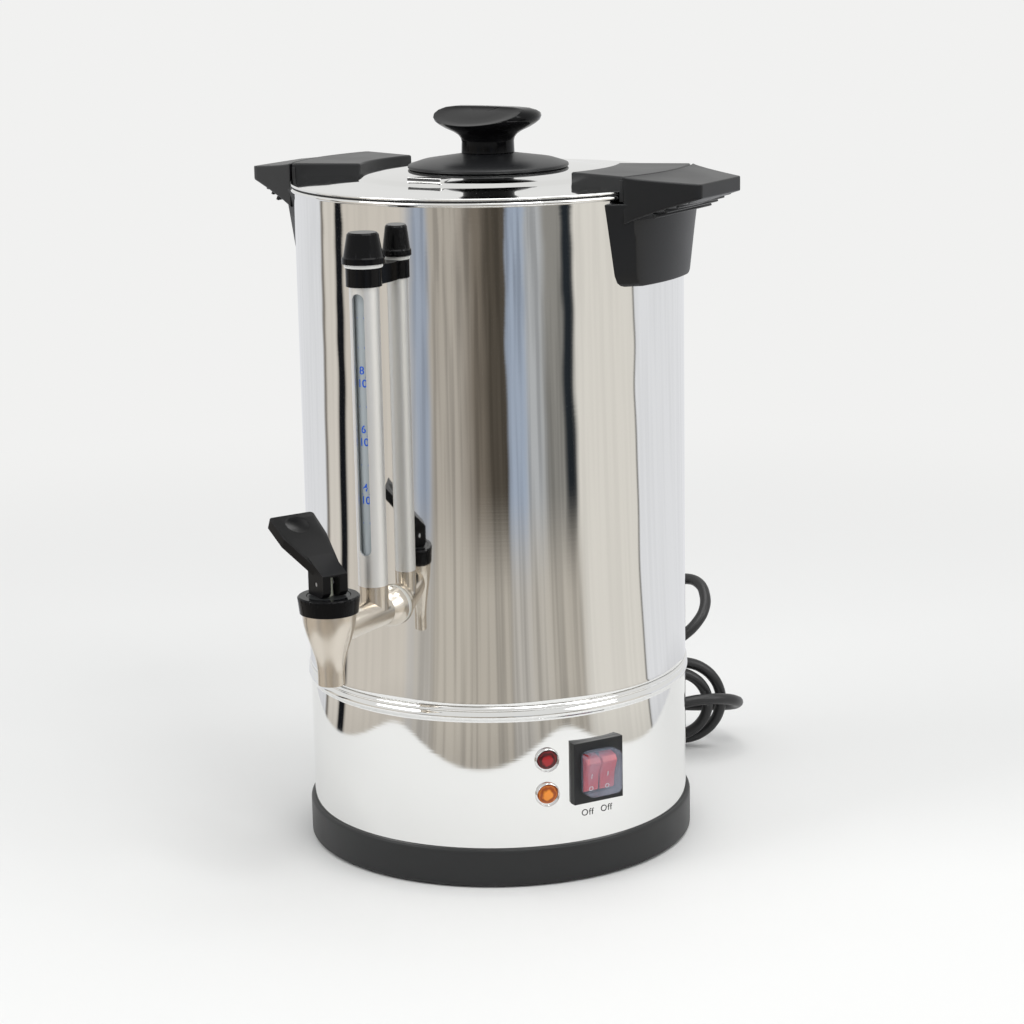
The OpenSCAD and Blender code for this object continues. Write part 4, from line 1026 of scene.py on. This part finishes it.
def makeRockerMarks():
    # I and O on the face of each rocker, which dips towards its middle
    c = controlShape
    face = c["rocker"] * 0.786
    for body, side in (("boil_switch", -1), ("warm_switch", 1)):
        place = (wallMatrix(c["turn"], c["height"], c["face"] - c["under"])
                 @ Matrix.Translation((side * c["pitch"] / 2 * mm, 0, 0))
                 @ Matrix.Rotation(math.radians(c["travel"] / 2), 4, "X"))
        for words, share, up, tilt, lift in (("I", 0.8, -0.2, 0, 0.3), ("O", 0.7, -7.6, -8, 0.06)):
            mark = textShape("rockerMark" + words + body, words, c["markSize"] * share, 0.04)
            rise = face - 1.2 + 1.5 * abs(up) / (c["rocker"] * 0.8) + lift
            spot = Matrix.Translation((0, up * mm, rise * mm)) @ Matrix.Rotation(math.radians(tilt), 4, "X")
            turnInto(mark, place @ spot)
            finishPiece(mark, whiteRing, body)


makeOffWords()
makeRockerMarks()
print("controls made")


# floor, room and lights

stageShape = {
    "floorWide": 12.0, "facing": 31.3, "wobble": 0.07, "sheetHalf": 0.31, "sheetTurn": -11.0,
    "sheetRound": 0.23, "sheetEdge": 0.008, "fadeFrom": 0.4, "fadeTo": 1.25, "pale": (0.88, 0.88, 0.872),
    "paper": (0.8, 0.8, 0.79), "sky": (0.92, 0.93, 0.94), "skyLight": 0.62, "nearFloor": (194, 187, 176),
    "swayScale": 1.7, "streakScale": 17, "streakLean": 0.03, "streakFrom": 0.38, "streakTo": 0.56,
    "streakLight": 1.04,
}
# how the room's light changes: from and to this distance or angle, and the values there
roomFades = {
    "streakDark": (0.6, 0.95, 0.74, 0.98), "nearReach": (0.7, 1.15, 0.85, 0.0),
    "nearAside": (0.8, 0.9, 1.0, 0.0), "strength": (0.0, 0.09, 0.86, 1.0),
}
# the room that mirrors see past the sheet: first azimuth from the camera's, width of the blend, colour
roomPanels = {
    "backWall": (-180, 0, (224, 225, 228)), "leftEdge": (-115.5, 1, (112, 106, 98)),
    "leftWall": (-112.6, 1, (212, 206, 197)), "leftPost": (-101, 1, (30, 31, 34)),
    "besidePost": (-94.5, 1.5, (206, 199, 189)), "glassDoor": (-48, 9, (160, 169, 184)),
    "beigeWall": (-36, 3, (176, 169, 159)), "deepShade": (-15, 11, (118, 110, 100)),
    "doorway": (-4, 5, (84, 78, 70)), "blueWindow": (8, 1.6, (160, 171, 188)),
    "windowFrame": (19, 2.5, (178, 180, 182)), "openShelf": (29, 5, (140, 138, 133)),
    "darkPost": (40.5, 1.4, (42, 46, 50)), "paleWall": (47.5, 2.5, (222, 218, 210)),
    "wallCorner": (89.4, 0.8, (120, 118, 114)), "rightPane": (91.0, 0.8, (228, 229, 232)),
}


def roomColour(values):
    return [(v / 255) ** 2.2 for v in values]


def azimuthNode(nodes, links, vector):
    # the azimuth of a point from the camera's own, from -pi to pi
    apart = addNode(nodes, links, "SeparateXYZ", {0: vector}).outputs
    back = mathNode(nodes, links, "MULTIPLY", apart["Y"], -1)
    angle = mathNode(nodes, links, "ARCTAN2", apart["X"], back)
    turned = mathNode(nodes, links, "SUBTRACT", angle, math.radians(stageShape["facing"]))
    return mathNode(nodes, links, "WRAP", turned, math.pi, -math.pi)


def panelStops():
    rows = list(roomPanels.values())
    stops = []
    for (start, blend, colour), after in zip(rows, rows[1:]):
        stops += [(start + blend / 2, colour), (after[0] - after[1] / 2, colour)]
    stops.append((rows[-1][0] + rows[-1][1] / 2, rows[-1][2]))
    return [((place + 180) / 360, roomColour(colour)) for place, colour in stops]


def roomColours(nodes, links, vector, azimuth, reach):
    # upright panels of the room, that sway a little with distance and carry faint upright streaks
    s = stageShape
    sway = noiseNode(nodes, links, vector, s["swayScale"], 1)
    swayed = mathNode(nodes, links, "MULTIPLY_ADD", sway, s["wobble"], azimuth)
    centred = mathNode(nodes, links, "SUBTRACT", swayed, s["wobble"] / 2)
    share = rangeNode(nodes, links, centred, -math.pi, math.pi)
    panels = rampNode(nodes, links, share, panelStops())
    lean = mathNode(nodes, links, "MULTIPLY", reach, s["streakLean"])
    sweep = addNode(nodes, links, "CombineXYZ", {"X": azimuth, "Y": lean})
    streaks = noiseNode(nodes, links, sweep.outputs[0], s["streakScale"], 2)
    aside = mathNode(nodes, links, "ABSOLUTE", azimuth)
    dark = rangeNode(nodes, links, aside, *roomFades["streakDark"])
    shade = rangeNode(nodes, links, streaks, s["streakFrom"], s["streakTo"], dark, s["streakLight"])
    # the floor of the room lies before what stands far off in the middle
    near = rangeNode(nodes, links, reach, *roomFades["nearReach"], smooth=True)
    middle = rangeNode(nodes, links, aside, *roomFades["nearAside"])
    nearMiddle = mathNode(nodes, links, "MULTIPLY", near, middle)
    boards = colourMix(nodes, links, nearMiddle, panels, (*roomColour(s["nearFloor"]), 1))
    tint = addNode(nodes, links, "VectorMath", {0: boards, "Scale": shade}, "SCALE")
    return tint.outputs["Vector"]


def makeWorld():
    # the light of the room, and the plain colours that mirrors and the camera see in its place
    s = stageShape
    world = bpy.data.worlds.new("studio")
    bpy.context.scene.world = world
    world.use_nodes = True
    nodes, links = world.node_tree.nodes, world.node_tree.links
    nodes.clear()
    rays = nodes.new("ShaderNodeLightPath").outputs
    sky, room, pale = [
        addNode(nodes, links, "Background", {"Color": (*colour, 1), "Strength": strength}).outputs[0]
        for colour, strength in ((s["sky"], s["skyLight"]), (s["paper"], 1), (s["pale"], 1))]
    mirrored = shaderMix(nodes, links, rays["Is Glossy Ray"], sky, room)
    shown = shaderMix(nodes, links, rays["Is Camera Ray"], mirrored, pale)
    links.new(shown, nodes.new("ShaderNodeOutputWorld").inputs["Surface"])


def makeFloor():
    s = stageShape
    clearSelection()
    bpy.ops.mesh.primitive_plane_add(size=s["floorWide"])
    floor = bpy.context.object
    floor.name = "paleFloor"
    material, nodes, links, shader = newMaterial("paleFloor")
    feed(links, shader, {"Base Color": (*s["paper"], 1), "Roughness": 0.8, "Specular IOR Level": 0.1})
    place = nodes.new("ShaderNodeTexCoord").outputs["Object"]
    rays = nodes.new("ShaderNodeLightPath").outputs
    far = addNode(nodes, links, "VectorMath", {0: place}, "LENGTH").outputs["Value"]
    # seen by the camera, the floor fades into the pale background
    fade = rangeNode(nodes, links, far, s["fadeFrom"], s["fadeTo"], smooth=True)
    seen = mathNode(nodes, links, "MULTIPLY", fade, rays["Is Camera Ray"])
    pale = addNode(nodes, links, "Emission", {"Color": (*s["pale"], 1)})
    shown = shaderMix(nodes, links, seen, shader.outputs[0], pale.outputs[0])
    # what mirrors the floor sees a square pale sheet with round corners, and the room past it
    azimuth = azimuthNode(nodes, links, place)
    fromSide = mathNode(nodes, links, "SUBTRACT", azimuth, math.radians(s["sheetTurn"]))
    spans = []
    for kind in ("SINE", "COSINE"):
        span = mathNode(nodes, links, "MULTIPLY", mathNode(nodes, links, kind, fromSide), far)
        spans.append(mathNode(nodes, links, "ABSOLUTE", span))
    square = mathNode(nodes, links, "SMOOTH_MAX", *spans, s["sheetRound"])
    past = mathNode(nodes, links, "SUBTRACT", square, s["sheetHalf"])
    outside = rangeNode(nodes, links, past, 0, s["sheetEdge"])
    room = addNode(nodes, links, "Emission", {
        "Color": roomColours(nodes, links, place, azimuth, far),
        "Strength": rangeNode(nodes, links, past, *roomFades["strength"])})
    mirrored = mathNode(nodes, links, "MULTIPLY", outside, rays["Is Glossy Ray"])
    both = shaderMix(nodes, links, mirrored, shown, room.outputs[0])
    links.new(both, nodes["Material Output"].inputs["Surface"])
    floor.data.materials.append(material)


lampRows = [
    ("keyLight", (-1.1, -1.5, 1.7), 1.1, 16.0), ("rightLight", (1.9, 0.1, 1.3), 1.0, 10.0),
    ("topLight", (0.2, 0.3, 2.2), 1.4, 14.0), ("windowLight", (0.76, -0.48, 1.5), 0.35, 4.0),
]


def makeLights():
    for name, spot, size, power in lampRows:
        data = bpy.data.lights.new(name, "AREA")
        data.size = size
        data.energy = power
        lamp = bpy.data.objects.new(name, data)
        bpy.context.scene.collection.objects.link(lamp)
        lamp.location = spot
        aim = Vector((0, 0, 0.2)) - Vector(spot)
        lamp.rotation_mode = "QUATERNION"
        lamp.rotation_quaternion = aim.to_track_quat("-Z", "Y")


makeWorld()
makeFloor()
makeLights()
bpy.context.scene.view_settings.view_transform = "Standard"
print("stage made")

clearSelection()
